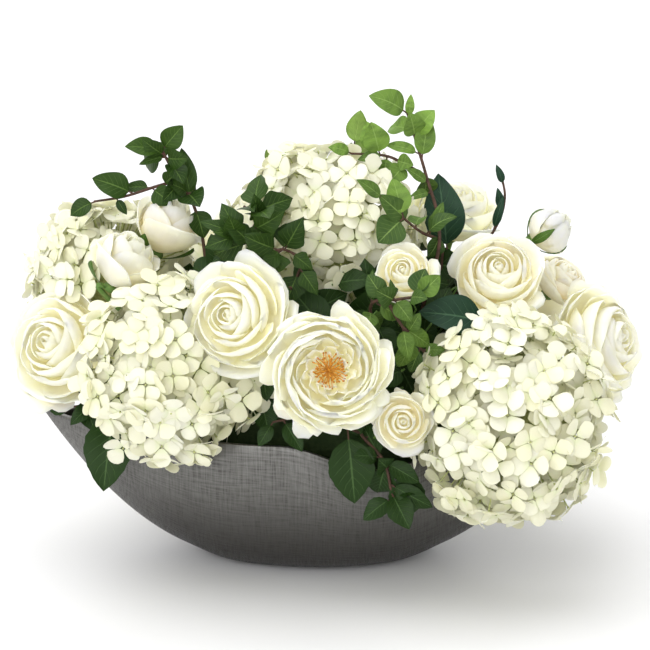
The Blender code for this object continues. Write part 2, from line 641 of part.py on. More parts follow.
def stem_path(name):
    """A bloom's stem from inside the foam to just under the bloom."""
    foot, facing = rose_foot(name) if name in ROSES else head_foot(name)
    top = foot - facing * TOUCH_GAP
    neck = top - facing * 0.010
    entry = Vector((STEM_ENDS[name][0] * MM, STEM_ENDS[name][1] * MM, FOAM_LEVELS[-1][0]))
    inward = (entry - neck).normalized()
    end = entry + inward * STEM_DEPTH_IN_FOAM
    return [end, neck, top]


def rods_around(name):
    """Everything that a head's florets keep clear of, as (start, end, radius) rods, but for bowl and foam."""
    rods = []
    for other, (place, size, *_) in {**ROSES, **HYDRANGEAS}.items():
        if other == name:
            continue
        share = 0.93 if other in ROSES else HEAD_CORE + 0.30 if other > name else HEAD_CORE + 0.12
        rods.append((Vector(place) * MM, Vector(place) * MM, size * MM * share))
        end, neck, top = stem_path(other)
        rods.append((end, neck, STEM_RADIUS))
    for _, stems, leaves in SPRAYS.values():
        for stem in stems:
            rods += [(Vector(a) * MM, Vector(b) * MM, SPRAY_STEM_RADIUS) for a, b in zip(stem, stem[1:])]
        for root, tip, width, _ in leaves:
            rods.append((Vector(root) * MM, Vector(tip) * MM, width * MM * 0.42))
    return rods


def make_blooms():
    for turn, (name, (centre, radius, facing, form)) in enumerate(ROSES.items()):
        rose(name, Vector(centre) * MM, radius * MM, facing, form, turn * 0.7)
    for turn, (name, (centre, radius, facing)) in enumerate(HYDRANGEAS.items()):
        hydrangea(name, Vector(centre) * MM, radius * MM, facing, turn * 0.9, rods_around(name))


def make_stems():
    for name in [*ROSES, *HYDRANGEAS]:
        stem = tube("stem", stem_path(name), (STEM_RADIUS, STEM_RADIUS, STEM_TOP_RADIUS))
        fuse(name + "_stem", [stem, *sepals(name)], "stem_green")


def sepals(name):
    """The narrow green leaves that grow from the top of a stem round the bloom, if it has any."""
    if name not in SEPALS:
        return []
    count, turn, distances, heights = SEPALS[name]
    centre, radius, facing, _ = ROSES[name]
    stand = aim(facing, Vector(centre) * MM)
    made = []
    for i in range(count):
        middle = turn + i * SEPAL_SPACING

        def surface(u, v):
            angle = math.radians(middle + u * interpolate((30, 17, 0), v))
            distance = interpolate(distances, v)
            place = Vector((distance * math.cos(angle), distance * math.sin(angle), interpolate(heights, v)))
            return stand @ (place * radius * MM)

        made.append(object_from("sepal", blade(surface, 2, 2, PETAL_THICKNESS)))
    return made


def make_stamens():
    """The tuft that stands on the core of the open garden rose."""
    centre, radius, facing, form = ROSES["rose_garden"]
    radius *= MM
    foot = ROSE_FORMS[form][1][2] * radius + TOUCH_GAP
    chance = random.Random(4)
    pieces = [object_from("cushion", lathe(((0.09 * radius, foot), (0.10 * radius, foot + 0.002),
                                            (0.03 * radius, foot + 0.004)), 6))]
    for i in range(STAMENS):
        spike = bmesh.new()
        bmesh.ops.create_cone(spike, cap_ends=True, segments=3, radius1=0.0009, radius2=0.0006, depth=1)
        root = Vector((0, 0, foot + 0.0022))
        lean = math.radians(chance.uniform(20, 68))
        around = i * GOLDEN_ANGLE
        way = Vector((math.sin(lean) * math.cos(around), math.sin(lean) * math.sin(around), math.cos(lean)))
        length = radius * chance.uniform(0.19, 0.26)
        stretch = Matrix.Diagonal((1, 1, length, 1)) @ Matrix.Translation((0, 0, 0.5))
        bmesh.ops.transform(spike, matrix=aim(way, root) @ stretch, verts=spike.verts)
        pieces.append(object_from("spike", spike))
    fuse("rose_garden_stamens", pieces, "stamen_amber").data.transform(aim(facing, Vector(centre) * MM))


def in_foam(start, after):
    """The buried end of a stem that goes from start, on the foam's top, to after."""
    return start + (start - after).normalized() * STEM_DEPTH_IN_FOAM


def make_sprays():
    for name, (finish_name, stems, leaves) in SPRAYS.items():
        pieces = []
        for i, stem in enumerate(stems):
            points = [Vector(point) * MM for point in stem]
            if i == 0:
                points[0] = in_foam(points[0], points[1])
            last = len(points) - 1
            foot_radius = SPRAY_STEM_RADIUS * (1 if i == 0 else 0.85)
            radii = [foot_radius * (1 - 0.2 * k / last) for k in range(last + 1)]
            pieces.append(tube("stem", points, radii))
        for root, tip, width, roll in leaves:
            pieces.append(leaf(Vector(root) * MM, Vector(tip) * MM, width * MM, math.radians(roll)))
        fuse(name, pieces, finish_name)


def stem_hole(end, outside, radius):
    """A cutter for the hole round a stem that goes from end to outside."""
    outward = (outside - end).normalized()
    low = end - outward * STEM_HOLE_DEEPER
    high = end + outward * STEM_DEPTH_IN_FOAM * 2.2
    hole = radius + STEM_HOLE_CLEARANCE
    return tube("hole", [low, high], (hole, hole))


def make_foam():
    shape = lathe([(1, height) for height, _, _ in FOAM_LEVELS], FOAM_SIDES)
    for vert in shape.verts:
        level = min(FOAM_LEVELS, key=lambda entry: abs(entry[0] - vert.co.z))
        vert.co.x *= level[1]
        vert.co.y *= level[2]
    block = object_from("floral_foam", shape, "foam_green")
    cutters = []
    for name in STEM_ENDS:
        end, neck, _ = stem_path(name)
        cutters.append(stem_hole(end, neck, STEM_RADIUS))
    for _, stems, _ in SPRAYS.values():
        start, after = (Vector(point) * MM for point in stems[0][:2])
        cutters.append(stem_hole(in_foam(start, after), after, SPRAY_STEM_RADIUS))
    return combine(block, cutters, "DIFFERENCE", "EXACT")


clear_scene()
make_bowl()
make_foam()
make_blooms()
make_stamens()
make_stems()
make_sprays()
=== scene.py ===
"""The looks of a floral table centrepiece: cream roses, white hydrangeas and leafy sprays in a grey bowl.

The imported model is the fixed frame. Each operator below builds one kind of piece around it: the bowl, the
foam and moss, the roses, the hydrangea heads, the stems, the sprays and the stage. Metres, +Z up; the
origin is the middle of the bowl's foot, X runs along the bowl and -Y is the front.
"""

import math
import random

import bmesh
import bpy
from mathutils import Matrix, Vector, noise
from mathutils.geometry import intersect_point_line


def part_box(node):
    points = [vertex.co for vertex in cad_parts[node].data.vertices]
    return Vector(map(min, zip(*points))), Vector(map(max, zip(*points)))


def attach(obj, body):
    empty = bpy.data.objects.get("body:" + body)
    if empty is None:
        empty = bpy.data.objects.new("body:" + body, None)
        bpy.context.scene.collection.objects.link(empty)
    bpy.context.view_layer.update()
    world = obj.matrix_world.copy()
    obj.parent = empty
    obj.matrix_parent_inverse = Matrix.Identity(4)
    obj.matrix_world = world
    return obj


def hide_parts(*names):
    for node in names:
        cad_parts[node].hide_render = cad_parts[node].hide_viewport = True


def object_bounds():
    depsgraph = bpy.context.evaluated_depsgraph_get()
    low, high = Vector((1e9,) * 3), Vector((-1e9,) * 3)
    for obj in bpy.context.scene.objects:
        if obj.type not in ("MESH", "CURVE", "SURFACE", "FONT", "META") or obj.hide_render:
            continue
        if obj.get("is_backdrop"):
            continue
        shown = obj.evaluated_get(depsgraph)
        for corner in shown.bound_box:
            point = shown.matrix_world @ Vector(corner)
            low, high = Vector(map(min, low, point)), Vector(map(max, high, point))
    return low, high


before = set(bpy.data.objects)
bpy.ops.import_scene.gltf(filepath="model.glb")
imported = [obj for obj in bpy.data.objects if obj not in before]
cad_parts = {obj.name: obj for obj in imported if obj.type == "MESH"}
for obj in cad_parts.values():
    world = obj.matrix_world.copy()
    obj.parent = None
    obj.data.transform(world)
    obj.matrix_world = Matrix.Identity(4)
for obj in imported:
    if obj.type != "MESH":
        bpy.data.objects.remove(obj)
CAD_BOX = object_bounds()

bl_info = {
    "name": "Floral Centrepiece",
    "version": (1, 0, 0),
    "blender": (4, 5, 0),
    "location": "3D View > Sidebar > Centrepiece",
    "description": "Dresses a bowl of roses, hydrangeas and leaves",
    "category": "Add Mesh",
}

MM = 0.001
GOLDEN_ANGLE = math.pi * (3 - math.sqrt(5))
ROOT = "root"

# --- Bowl: the same hull as the solid's, in metres
BOWL_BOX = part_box("bowl")
BOWL_HALF_LENGTH = BOWL_BOX[1].x
BOWL_HALF_DEPTH = BOWL_BOX[1].y
HORN_LIFT = 0.003
BOWL_HEIGHT = BOWL_BOX[1].z - HORN_LIFT
HORN_LENGTH = 0.030
DIP_DEPTH = 0.022
DIP_CENTRE = 0.055
DIP_HALF_LENGTH = 0.085
FOOT_HALF_LENGTH = 0.060
FOOT_HALF_DEPTH = 0.036
KEEL_SHARE = 0.46           # of the half length, where the flat underside has narrowed to the keel
BOWL_WALL = 0.004
BOWL_FLOOR = 0.005
BOWL_END_WALL = 0.012
FOAM_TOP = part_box("floral_foam")[1].z
FOAM_HALF_LENGTH = 0.150
FOAM_HALF_DEPTH = 0.058
MOSS_TUFTS = 900
STEM_SUNK = 0.022           # how far every stem runs into the foam
STEM_RADIUS = 0.0023
STEM_NECK = 0.0103          # the straight end of a bloom's stem
STEM_GAP = 0.0003           # between a stem's end and its bloom

# --- Blooms: centre in mm, radius in mm, the way each faces, and its form
ROSES = {
    "rose_left": ((-217, -40, 197), 47, (-0.45, -0.75, 0.40), "full"),
    "rose_bud_left": ((-159, -42, 270), 29, (0.45, -0.15, 0.85), "bud"),
    "rose_half_open_left": ((-126, 0, 292), 30, (0.35, -0.10, 0.92), "bud"),
    "rose_front_left": ((-63, -141, 247), 41, (-0.40, -0.85, 0.30), "full"),
    "rose_garden": ((12, -184, 214), 51, (0.05, -0.97, 0.22), "garden"),
    "rose_small_centre": ((73, -88, 270), 24.5, (-0.15, -0.80, 0.55), "cup"),
    "rose_small_low": ((71, -152, 163), 23, (0.0, -0.95, 0.25), "cup"),
    "rose_cupped_right": ((152, -55, 261), 37, (0.0, -0.75, 0.65), "full"),
    "rose_bud_right": ((199, -14, 291), 21, (0.80, -0.10, 0.55), "bud"),
    "rose_half_open_right": ((212, 14, 242), 26, (0.55, -0.35, 0.75), "cup"),
    "rose_right": ((245, -30, 198), 47, (0.78, -0.50, 0.30), "full"),
    "rose_high_back": ((122, 62, 292), 40, (0.10, -0.30, 0.92), "full"),
    "rose_back_centre": ((0, 150, 205), 47, (0.0, 0.95, 0.30), "full"),
    "rose_back_left": ((-66, 102, 262), 36, (-0.25, 0.75, 0.60), "cup"),
    "rose_back_right": ((64, 126, 256), 34, (0.20, 0.80, 0.55), "cup"),
    "rose_back_end": ((196, 80, 214), 38, (0.65, 0.70, 0.35), "cup"),
}
HYDRANGEAS = {
    "hydrangea_left": ((-176, 30, 238), 71, (-0.35, 0.10, 0.93)),
    "hydrangea_front_left": ((-116, -87, 190), 79, (-0.15, -0.85, 0.50)),
    "hydrangea_top": ((9, 5, 285), 76, (0.0, -0.20, 0.98)),
    "hydrangea_front_right": ((157, -118, 161), 86, (0.35, -0.90, 0.25)),
    "hydrangea_back_right": ((120, 108, 166), 76, (0.35, 0.85, 0.40)),
    "hydrangea_back_left": ((-118, 108, 186), 74, (-0.30, 0.85, 0.45)),
}
# Where each bloom's stem enters the foam, in mm: x, y on its top
STEM_ENDS = {
    "rose_left": (-122, -10), "rose_bud_left": (-88, -17), "rose_half_open_left": (-92, 6),
    "rose_front_left": (-42, -34), "rose_garden": (8, -34), "rose_small_centre": (56, -26),
    "rose_small_low": (42, -32), "rose_cupped_right": (84, -20), "rose_bud_right": (104, -5),
    "rose_half_open_right": (104, 14), "rose_right": (118, -16), "rose_high_back": (78, 22),
    "rose_back_centre": (0, 36), "rose_back_left": (-42, 32), "rose_back_right": (38, 32),
    "rose_back_end": (112, 26), "hydrangea_left": (-112, 6),
    "hydrangea_front_left": (-76, -28), "hydrangea_top": (4, 2), "hydrangea_front_right": (90, -34),
    "hydrangea_back_right": (76, 36), "hydrangea_back_left": (-76, 34),
}

# --- Sprays
# Outline and cloth of the leaves, then twigs as points in mm, of which the first twig starts on the foam,
# then each leaf's root and tip in mm, its width in mm and its roll in degrees
SPRAYS = {
    "spray_tall": ("sprig", "young", (
        ((68, -14, 150), (100, -42, 263), (104, -22, 300), (95, -8, 333), (85, -2, 366), (78, 0, 388)),
        ((94, -7, 336), (76, -6, 346), (59, -4, 353), (31, 0, 354)),
        ((102, -29, 287), (88, -50, 297), (73, -68, 312)),
    ), (
        ((78, 0, 388), (45, -6, 404), 24, 12), ((79, 0, 384), (81, 4, 404), 8, 0),
        ((84, -2, 368), (79, -12, 391), 20, 10), ((90, -5, 349), (96, 2, 386), 18, 0),
        ((55, -3, 353), (47, -6, 382), 23, 0), ((58, -4, 353), (36, -10, 350), 11, 12),
        ((61, -4, 352), (58, -6, 336), 13, 0), ((68, -5, 349), (83, -12, 346), 15, 12),
        ((89, -4, 354), (59, 0, 361), 11, 12), ((96, -9, 330), (76, -14, 344), 10, 12),
        ((98, -12, 323), (79, -16, 318), 9, 12), ((73, -68, 312), (64, -60, 344), 21, 0),
        ((73, -68, 312), (52, -76, 293), 28, 0), ((95, -40, 292), (107, -34, 319), 11, 12),
        ((78, -62, 307), (52, -74, 333), 19, 0), ((56, -72, 329), (34, -82, 347), 12, 10),
        ((31, 0, 354), (11, -4, 360), 12, 10),
    )),
    "spray_left": ("sprig", "green", (
        ((-80, -4, 150), (-90, -10, 228), (-95, -8, 281), (-104, -2, 313), (-116, 0, 331), (-129, 0, 357)),
        ((-116, 0, 331), (-135, -2, 326), (-161, -4, 318), (-187, -6, 314)),
    ), (
        ((-129, 0, 357), (-160, -6, 361), 18, 12), ((-129, 0, 357), (-111, 0, 378), 20, 10),
        ((-105, -2, 315), (-113, 6, 358), 18, 0), ((-126, 0, 351), (-148, -8, 346), 9, 12),
        ((-153, -3, 320), (-188, -6, 334), 24, 10), ((-138, -2, 325), (-162, 8, 323), 12, 12),
        ((-128, -1, 328), (-115, -10, 340), 15, 12), ((-138, -2, 325), (-120, -10, 312), 19, 12),
        ((-186, -6, 314), (-207, -8, 302), 17, 10), ((-168, -5, 317), (-159, -8, 303), 8, 10),
    )),
    "spray_centre": ("ivy", "green", (
        ((-30, -22, 150), (-38, -66, 225), (-43, -81, 278), (-56, -85, 297), (-67, -85, 304)),
        ((-43, -81, 278), (-28, -83, 289), (-14, -81, 284)),
        ((-56, -85, 297), (-46, -77, 316), (-58, -73, 323)),
        ((-38, -66, 225), (-20, -64, 240), (-12, -87, 274)),
        ((-20, -64, 240), (-19, -95, 260)),
    ), (
        ((-13, -85, 271), (-25, -95, 242), 24, 0), ((-12, -87, 274), (3, -95, 253), 18, 0),
        ((-19, -95, 260), (-38, -107, 261), 15, 0), ((-66, -85, 303), (-94, -81, 312), 14, 10),
        ((-61, -85, 300), (-76, -75, 326), 22, 0), ((-64, -85, 302), (-82, -97, 306), 13, 10),
        ((-62, -85, 301), (-90, -87, 291), 19, 0), ((-54, -85, 295), (-52, -87, 269), 20, 0),
        ((-52, -84, 291), (-37, -79, 315), 20, 10), ((-27, -83, 288), (-13, -81, 313), 28, 0),
        ((-29, -83, 288), (-33, -91, 269), 24, 0), ((-19, -82, 286), (-1, -85, 272), 16, 0),
    )),
    "spray_right": ("sprig", "young", (
        ((52, -18, 150), (50, -76, 212), (46, -116, 251), (66, -121, 256), (84, -122, 259)),
        ((59, -119, 254), (71, -122, 234), (89, -116, 211)),
    ), (
        ((83, -122, 259), (101, -120, 276), 18, 10), ((46, -116, 251), (47, -112, 279), 9, 0),
        ((64, -121, 256), (61, -122, 273), 6, 0), ((64, -121, 256), (78, -128, 239), 16, 0),
        ((50, -117, 252), (72, -110, 238), 15, 12), ((71, -122, 234), (76, -128, 207), 14, 0),
        ((72, -122, 233), (94, -112, 215), 15, 0), ((88, -116, 213), (106, -120, 214), 11, 12),
        ((86, -117, 215), (78, -112, 193), 13, 0),
    )),
    "leaf_large_right": ("broad", "sage", (
        ((92, -26, 150), (126, -64, 210), (141, -84, 228)),
    ), (
        ((141, -84, 228), (85, -90, 238), 34, 12),
    )),
    "spray_grey_back": ("broad", "sage", (
        ((96, 3, 150), (102, 5, 200), (107, 6, 240), (110, 8, 272)),
        ((102, 5, 200), (138, 3, 262), (157, 8, 294), (162, 10, 314), (160, 12, 329)),
    ), (
        ((113, 8, 270), (105, 12, 335), 36, 0), ((160, 12, 326), (154, 10, 343), 7, 0),
        ((159, 9, 304), (155, 4, 324), 8, 0), ((153, 7, 288), (160, 0, 318), 8, 0),
    )),
    "spray_over_rim": ("rose", "deep", (
        ((26, -32, 150), (30, -58, 162), (34, -84, 158), (38, -108, 140), (57, -122, 120), (64, -121, 88)),
        ((38, -108, 140), (27, -116, 147)),
        ((58, -122, 116), (78, -118, 113)),
        ((34, -84, 158), (-6, -94, 152), (-34, -106, 149)),
    ), (
        ((-34, -106, 149), (-46, -112, 130), 13, 0), ((-26, -102, 150), (-10, -114, 126), 16, 0),
        ((27, -116, 147), (33, -122, 84), 39, 0), ((57, -122, 120), (86, -128, 104), 17, 0),
        ((61, -121, 101), (97, -126, 82), 18, 12), ((77, -118, 113), (75, -116, 70), 31, 0),
        ((64, -121, 89), (40, -126, 71), 18, 12), ((54, -120, 123), (31, -126, 126), 16, 12),
    )),
    "spray_left_end": ("rose", "deep", (
        ((-100, -27, 150), (-112, -34, 168), (-146, -43, 165), (-168, -60, 150)),
        ((-146, -43, 165), (-182, -44, 149), (-204, -42, 144)),
    ), (
        ((-168, -60, 150), (-177, -84, 82), 42, 0), ((-204, -42, 144), (-229, -36, 145), 20, 0),
        ((-186, -44, 148), (-206, -60, 133), 15, 0),
    )),
    "spray_back_tall": ("sprig", "young", (
        ((12, 30, 150), (22, 88, 225), (28, 92, 290), (34, 88, 345)),
        ((28, 92, 290), (2, 104, 318)),
        ((22, 88, 225), (-34, 80, 290), (-35, 50, 333)),
    ), (
        ((-35, 50, 333), (-42, 44, 350), 11, 0), ((-35, 51, 332), (-22, 60, 345), 10, 0),
        ((34, 88, 345), (40, 84, 378), 19, 0), ((33, 89, 334), (60, 100, 350), 21, 0),
        ((31, 90, 318), (62, 92, 312), 20, 0), ((2, 104, 318), (-24, 112, 330), 21, 0),
        ((10, 100, 310), (-12, 120, 298), 18, 0), ((28, 92, 285), (34, 122, 300), 20, 0),
    )),
    "spray_back_rim": ("rose", "deep", (
        ((-30, 34, 150), (-40, 60, 162), (-50, 88, 156), (-57, 112, 138)),
        ((-50, 88, 156), (-20, 114, 140)),
    ), (
        ((-57, 112, 138), (-62, 126, 84), 41, 0), ((-55, 105, 143), (-92, 122, 112), 28, 0),
        ((-21, 113, 140), (-8, 128, 92), 33, 0), ((-33, 103, 147), (-34, 130, 128), 26, 0),
    )),
    "spray_back_right": ("rose", "deep", (
        ((50, 34, 150), (52, 92, 172), (60, 128, 186)),
        ((52, 92, 172), (44, 122, 146)),
    ), (
        ((60, 128, 186), (74, 164, 190), 28, 0), ((58, 120, 183), (28, 142, 152), 20, 0),
        ((44, 122, 146), (40, 138, 100), 35, 0), ((47, 112, 154), (70, 132, 128), 24, 0),
    )),
    "spray_back_end": ("rose", "deep", (
        ((122, 13, 150), (130, 22, 170), (164, 38, 166), (196, 44, 156)),
    ), (
        ((196, 44, 156), (226, 58, 130), 29, 0), ((188, 42, 159), (214, 20, 138), 23, 0),
        ((179, 41, 161), (196, 72, 134), 23, 0),
    )),
}

# A rose's rings of petals, in shares of its radius: how many, half width in degrees, three distances from
# its axis and three heights from root to lip, how far the lip's sides droop, the radius that the lip rolls
# out to, and how much it is ruffled
ROSE_RINGS = {
    "full": (
        (5, 52, (0.04, 0.88, 0.97), (-0.60, -0.38, -0.02), 0.14, 0.085, 0.040),
        (4, 64, (0.04, 0.85, 0.82), (-0.60, -0.22, 0.16), 0.12, 0.085, 0.032),
        (4, 64, (0.04, 0.72, 0.65), (-0.58, -0.06, 0.32), 0.10, 0.060, 0.034),
        (3, 82, (0.04, 0.58, 0.48), (-0.55, 0.05, 0.41), 0.08, 0.045, 0.028),
        (3, 84, (0.04, 0.44, 0.35), (-0.52, 0.12, 0.46), 0.06, 0.030, 0.020),
        (3, 88, (0.04, 0.31, 0.23), (-0.48, 0.16, 0.48), 0.05, 0.020, 0.014),
        (3, 92, (0.03, 0.20, 0.13), (-0.40, 0.18, 0.49), 0.04, 0.012, 0.004),
        (2, 118, (0.02, 0.11, 0.04), (-0.30, 0.20, 0.48), 0.03, 0.004, 0.000),
    ),
    "garden": (
        (6, 42, (0.04, 0.78, 0.88), (-0.56, -0.40, -0.05), 0.12, 0.055, 0.034),
        (7, 40, (0.04, 0.75, 0.76), (-0.56, -0.28, 0.11), 0.10, 0.070, 0.028),
        (6, 46, (0.04, 0.68, 0.65), (-0.54, -0.18, 0.20), 0.08, 0.045, 0.022),
        (5, 56, (0.04, 0.63, 0.59), (-0.52, -0.14, 0.22), 0.06, 0.036, 0.018),
        (5, 58, (0.04, 0.55, 0.52), (-0.50, -0.12, 0.21), 0.05, 0.028, 0.018),
        (8, 34, (0.04, 0.42, 0.43), (-0.40, -0.12, 0.15), 0.06, 0.035, 0.030),
        (8, 32, (0.03, 0.31, 0.33), (-0.30, -0.12, 0.10), 0.06, 0.030, 0.036),
        (8, 32, (0.03, 0.20, 0.24), (-0.24, -0.10, 0.04), 0.05, 0.025, 0.036),
    ),
    "cup": (
        (4, 64, (0.04, 0.86, 0.87), (-0.66, -0.26, 0.18), 0.16, 0.095, 0.036),
        (4, 66, (0.04, 0.77, 0.70), (-0.66, -0.12, 0.37), 0.12, 0.072, 0.026),
        (3, 80, (0.04, 0.63, 0.53), (-0.62, 0.00, 0.47), 0.10, 0.050, 0.018),
        (3, 84, (0.04, 0.48, 0.38), (-0.60, 0.08, 0.52), 0.07, 0.034, 0.012),
        (3, 88, (0.04, 0.34, 0.25), (-0.55, 0.14, 0.55), 0.05, 0.022, 0.008),
        (2, 110, (0.03, 0.22, 0.14), (-0.50, 0.18, 0.56), 0.04, 0.012, 0.000),
        (2, 125, (0.02, 0.11, 0.04), (-0.40, 0.20, 0.56), 0.03, 0.004, 0.000),
    ),
    "small": (
        (3, 76, (0.04, 0.86, 0.90), (-0.66, -0.24, 0.16), 0.10, 0.110, 0.040),
        (3, 78, (0.04, 0.76, 0.68), (-0.66, -0.08, 0.38), 0.10, 0.078, 0.026),
        (3, 84, (0.04, 0.58, 0.46), (-0.62, 0.04, 0.49), 0.08, 0.050, 0.014),
        (3, 88, (0.04, 0.38, 0.28), (-0.58, 0.12, 0.54), 0.06, 0.028, 0.008),
        (2, 115, (0.03, 0.24, 0.15), (-0.50, 0.18, 0.56), 0.05, 0.014, 0.000),
        (2, 125, (0.02, 0.11, 0.04), (-0.40, 0.20, 0.56), 0.03, 0.004, 0.000),
    ),
    "half": (
        (3, 76, (0.04, 0.80, 0.78), (-0.84, -0.20, 0.46), 0.26, 0.100, 0.045),
        (3, 80, (0.04, 0.73, 0.56), (-0.84, -0.08, 0.68), 0.24, 0.060, 0.026),
        (3, 84, (0.04, 0.57, 0.40), (-0.82, 0.00, 0.78), 0.20, 0.036, 0.014),
        (3, 90, (0.04, 0.41, 0.27), (-0.80, 0.05, 0.83), 0.14, 0.020, 0.008),
        (2, 112, (0.04, 0.28, 0.15), (-0.78, 0.05, 0.85), 0.10, 0.010, 0.000),
        (2, 125, (0.03, 0.16, 0.06), (-0.70, 0.10, 0.86), 0.06, 0.006, 0.000),
    ),
    "bud": (
        (3, 84, (0.04, 0.92, 0.48), (-0.86, -0.20, 0.72), 0.34, 0.024, 0.010),
        (3, 88, (0.04, 0.84, 0.31), (-0.84, -0.12, 0.85), 0.28, 0.016, 0.008),
        (3, 90, (0.04, 0.70, 0.18), (-0.82, -0.08, 0.91), 0.22, 0.010, 0.005),
        (2, 115, (0.04, 0.50, 0.10), (-0.80, -0.05, 0.93), 0.15, 0.006, 0.000),
        (2, 125, (0.03, 0.30, 0.05), (-0.70, 0.00, 0.94), 0.10, 0.004, 0.000),
    ),
}
# Roses whose petals are laid more upright, or more open, than their form's
LAID = {"rose_bud_left": "half", "rose_half_open_left": "half", "rose_cupped_right": "cup",
        "rose_high_back": "cup", "rose_small_centre": "small", "rose_small_low": "small"}
# How green and how peach each rose's outer petals are
ROSE_TINTS = {"rose_left": (0.16, 0.04), "rose_front_left": (0.08, 0.0), "rose_garden": (0.12, 0.03),
              "rose_small_centre": (0.05, 0.12), "rose_small_low": (0.0, 0.30), "rose_right": (0.14, 0.04),
              "rose_high_back": (0.40, 0.0), "rose_bud_left": (0.04, 0.34), "rose_cupped_right": (0.04, 0.30),
              "rose_half_open_left": (0.06, 0.60), "rose_half_open_right": (0.0, 0.65)}
# Loose petals outside the rings: the way each hangs, its half width in degrees, three distances and three
# heights as above, and how green and how peach it is
LOOSE_PETALS = {
    "rose_garden": (
        ((-0.45, 0, -0.90), 17, (0.50, 0.88, 1.10), (-0.50, -0.34, -0.30), 0.45, 0.0),
        ((-0.85, 0, -0.62), 24, (0.50, 0.82, 0.99), (-0.50, -0.36, -0.24), 0.0, 0.45),
        ((0.80, 0, -0.62), 24, (0.50, 0.82, 0.98), (-0.50, -0.38, -0.26), 0.65, 0.0),
    ),
    "rose_front_left": (
        ((0.20, 0, -0.98), 30, (0.50, 0.92, 1.12), (-0.56, -0.42, -0.26), 0.35, 0.0),
        ((0.95, 0, -0.10), 34, (0.50, 0.86, 1.00), (-0.56, -0.40, -0.02), 0.12, 0.10),
    ),
    "rose_left": (
        ((-0.15, 0, -0.98), 30, (0.50, 0.90, 1.08), (-0.56, -0.42, -0.20), 0.0, 0.55),
        ((-0.80, 0, -0.60), 34, (0.50, 0.88, 1.02), (-0.56, -0.40, -0.06), 0.10, 0.10),
    ),
    "rose_right": (
        ((0.20, 0, -0.98), 34, (0.50, 0.92, 1.10), (-0.56, -0.42, -0.24), 0.30, 0.0),
        ((-0.50, 0, -0.86), 28, (0.50, 0.88, 1.02), (-0.56, -0.40, -0.12), 0.0, 0.18),
    ),
    "rose_cupped_right": (
        ((-0.10, 0, -0.98), 34, (0.50, 0.90, 1.04), (-0.56, -0.42, -0.22), 0.0, 0.40),
    ),
    "rose_small_low": (
        ((0.35, 0, -0.93), 22, (0.40, 0.92, 1.12), (-0.62, -0.46, -0.30), 0.0, 0.90),
        ((0.00, 0, 1.00), 20, (0.40, 0.92, 1.10), (-0.62, -0.46, -0.20), 0.0, 0.75),
    ),
}
# The height of the top and of the underside of a rose's core
ROSE_CORES = {"full": 0.36, "garden": -0.06, "cup": 0.42, "small": 0.42, "half": 0.66, "bud": 0.78}
ROSE_LOW = {"full": -0.64, "garden": -0.60, "cup": -0.70, "small": -0.70, "half": -0.88, "bud": -0.88}
ROSE_PINWHEEL = 0.15
SEPALS = {
    "rose_bud_right": (3, 100, (0.06, 0.86, 0.86), (-1.02, -0.38, 0.30)),
    "rose_half_open_left": (2, 170, (0.06, 0.88, 1.16), (-1.00, -0.52, -0.10)),
    "rose_bud_left": (2, 150, (0.06, 0.88, 1.16), (-1.00, -0.52, -0.10)),
    "rose_small_low": (3, 60, (0.06, 0.60, 1.16), (-0.80, -0.60, -0.20)),
}
SEPAL_SPACING = 75          # degrees
SEPAL_HALF_WIDTH = 12       # degrees
STAMENS = 64
STAMEN_SPREAD = 82          # degrees from the rose's axis
HEAD_CORE = 0.64            # in shares of a hydrangea head's radius
HEAD_FOOT = 0.80
HEAD_COVER = 0.86           # how far round its foot a head is covered, where 1 is all round
HEAD_TANGLE = 0.58          # the ball of small branches inside, in shares of the radius
HEAD_STEPS = (0.76, 0.86, 0.91, 0.97)       # how far out its florets stand
FLORET_PATTERNS = 5
FLORET_CLEARANCE = 0.007    # from other blooms, stems and leaves
RIM_CLEARANCE = 0.011       # from a floret to the bowl's wall
# How far the florets of a head spread in x, y and upwards, and how far its lower ones hang, in radii
HEAD_SPREADS = {"hydrangea_front_right": (0.97, 1.0, 1.0, 1.15), "hydrangea_top": (1.10, 1.0, 0.98, 1.0),
                "hydrangea_left": (1.05, 1.0, 0.97, 1.0)}
# Small leaves between the listed ones: how many, their length in mm, and where they grow: the centre and
# radius in mm of a ball round part of the spray
EXTRA_LEAVES = {"spray_left": (10, 31, (-118, -2, 336), 34), "spray_centre": (13, 37, (-50, -80, 292), 42),
                "spray_tall": (9, 27, (86, -20, 335), 62), "spray_right": (9, 26, (72, -114, 236), 40),
                "spray_over_rim": (9, 32, (48, -112, 128), 44),
                "spray_left_end": (5, 30, (-200, -46, 140), 30),
                "spray_back_tall": (8, 24, (20, 96, 320), 50),
                "spray_back_rim": (6, 30, (-36, 108, 142), 40),
                "spray_back_right": (5, 28, (50, 124, 160), 34),
                "spray_back_end": (4, 28, (190, 44, 150), 30)}
BACK_FROM = 0.045           # leaves that grow behind this Y turn their faces to the back
LEAF_LOWEST = 0.060         # small leaves stay above this height
BOX_MARGIN = 0.006          # and this far inside the whole centrepiece's box
# The dark leaves between the blooms: how many at most, the dome that they lie in, and their lowest tip
FILLING_LEAVES = 420
FILLING_CENTRE = Vector((0, 0, 0.140))
FILLING_SIZE = (0.205, 0.120, 0.150)
FILLING_LOWEST = 0.135
AIM = Vector((0.0086, 0, 0.2048))       # what the camera looks at, a little above the middle of the flowers


# --- Settings

def colour(name, description, default):
    return bpy.props.FloatVectorProperty(name=name, description=description, default=default, size=3,
                                         subtype="COLOR", min=0, max=1)


def length(name, description, default):
    return bpy.props.FloatProperty(name=name, description=description, default=default, unit="LENGTH",
                                   precision=4)


def share(name, description, default):
    return bpy.props.FloatProperty(name=name, description=description, default=default, subtype="FACTOR",
                                   min=0, max=1)


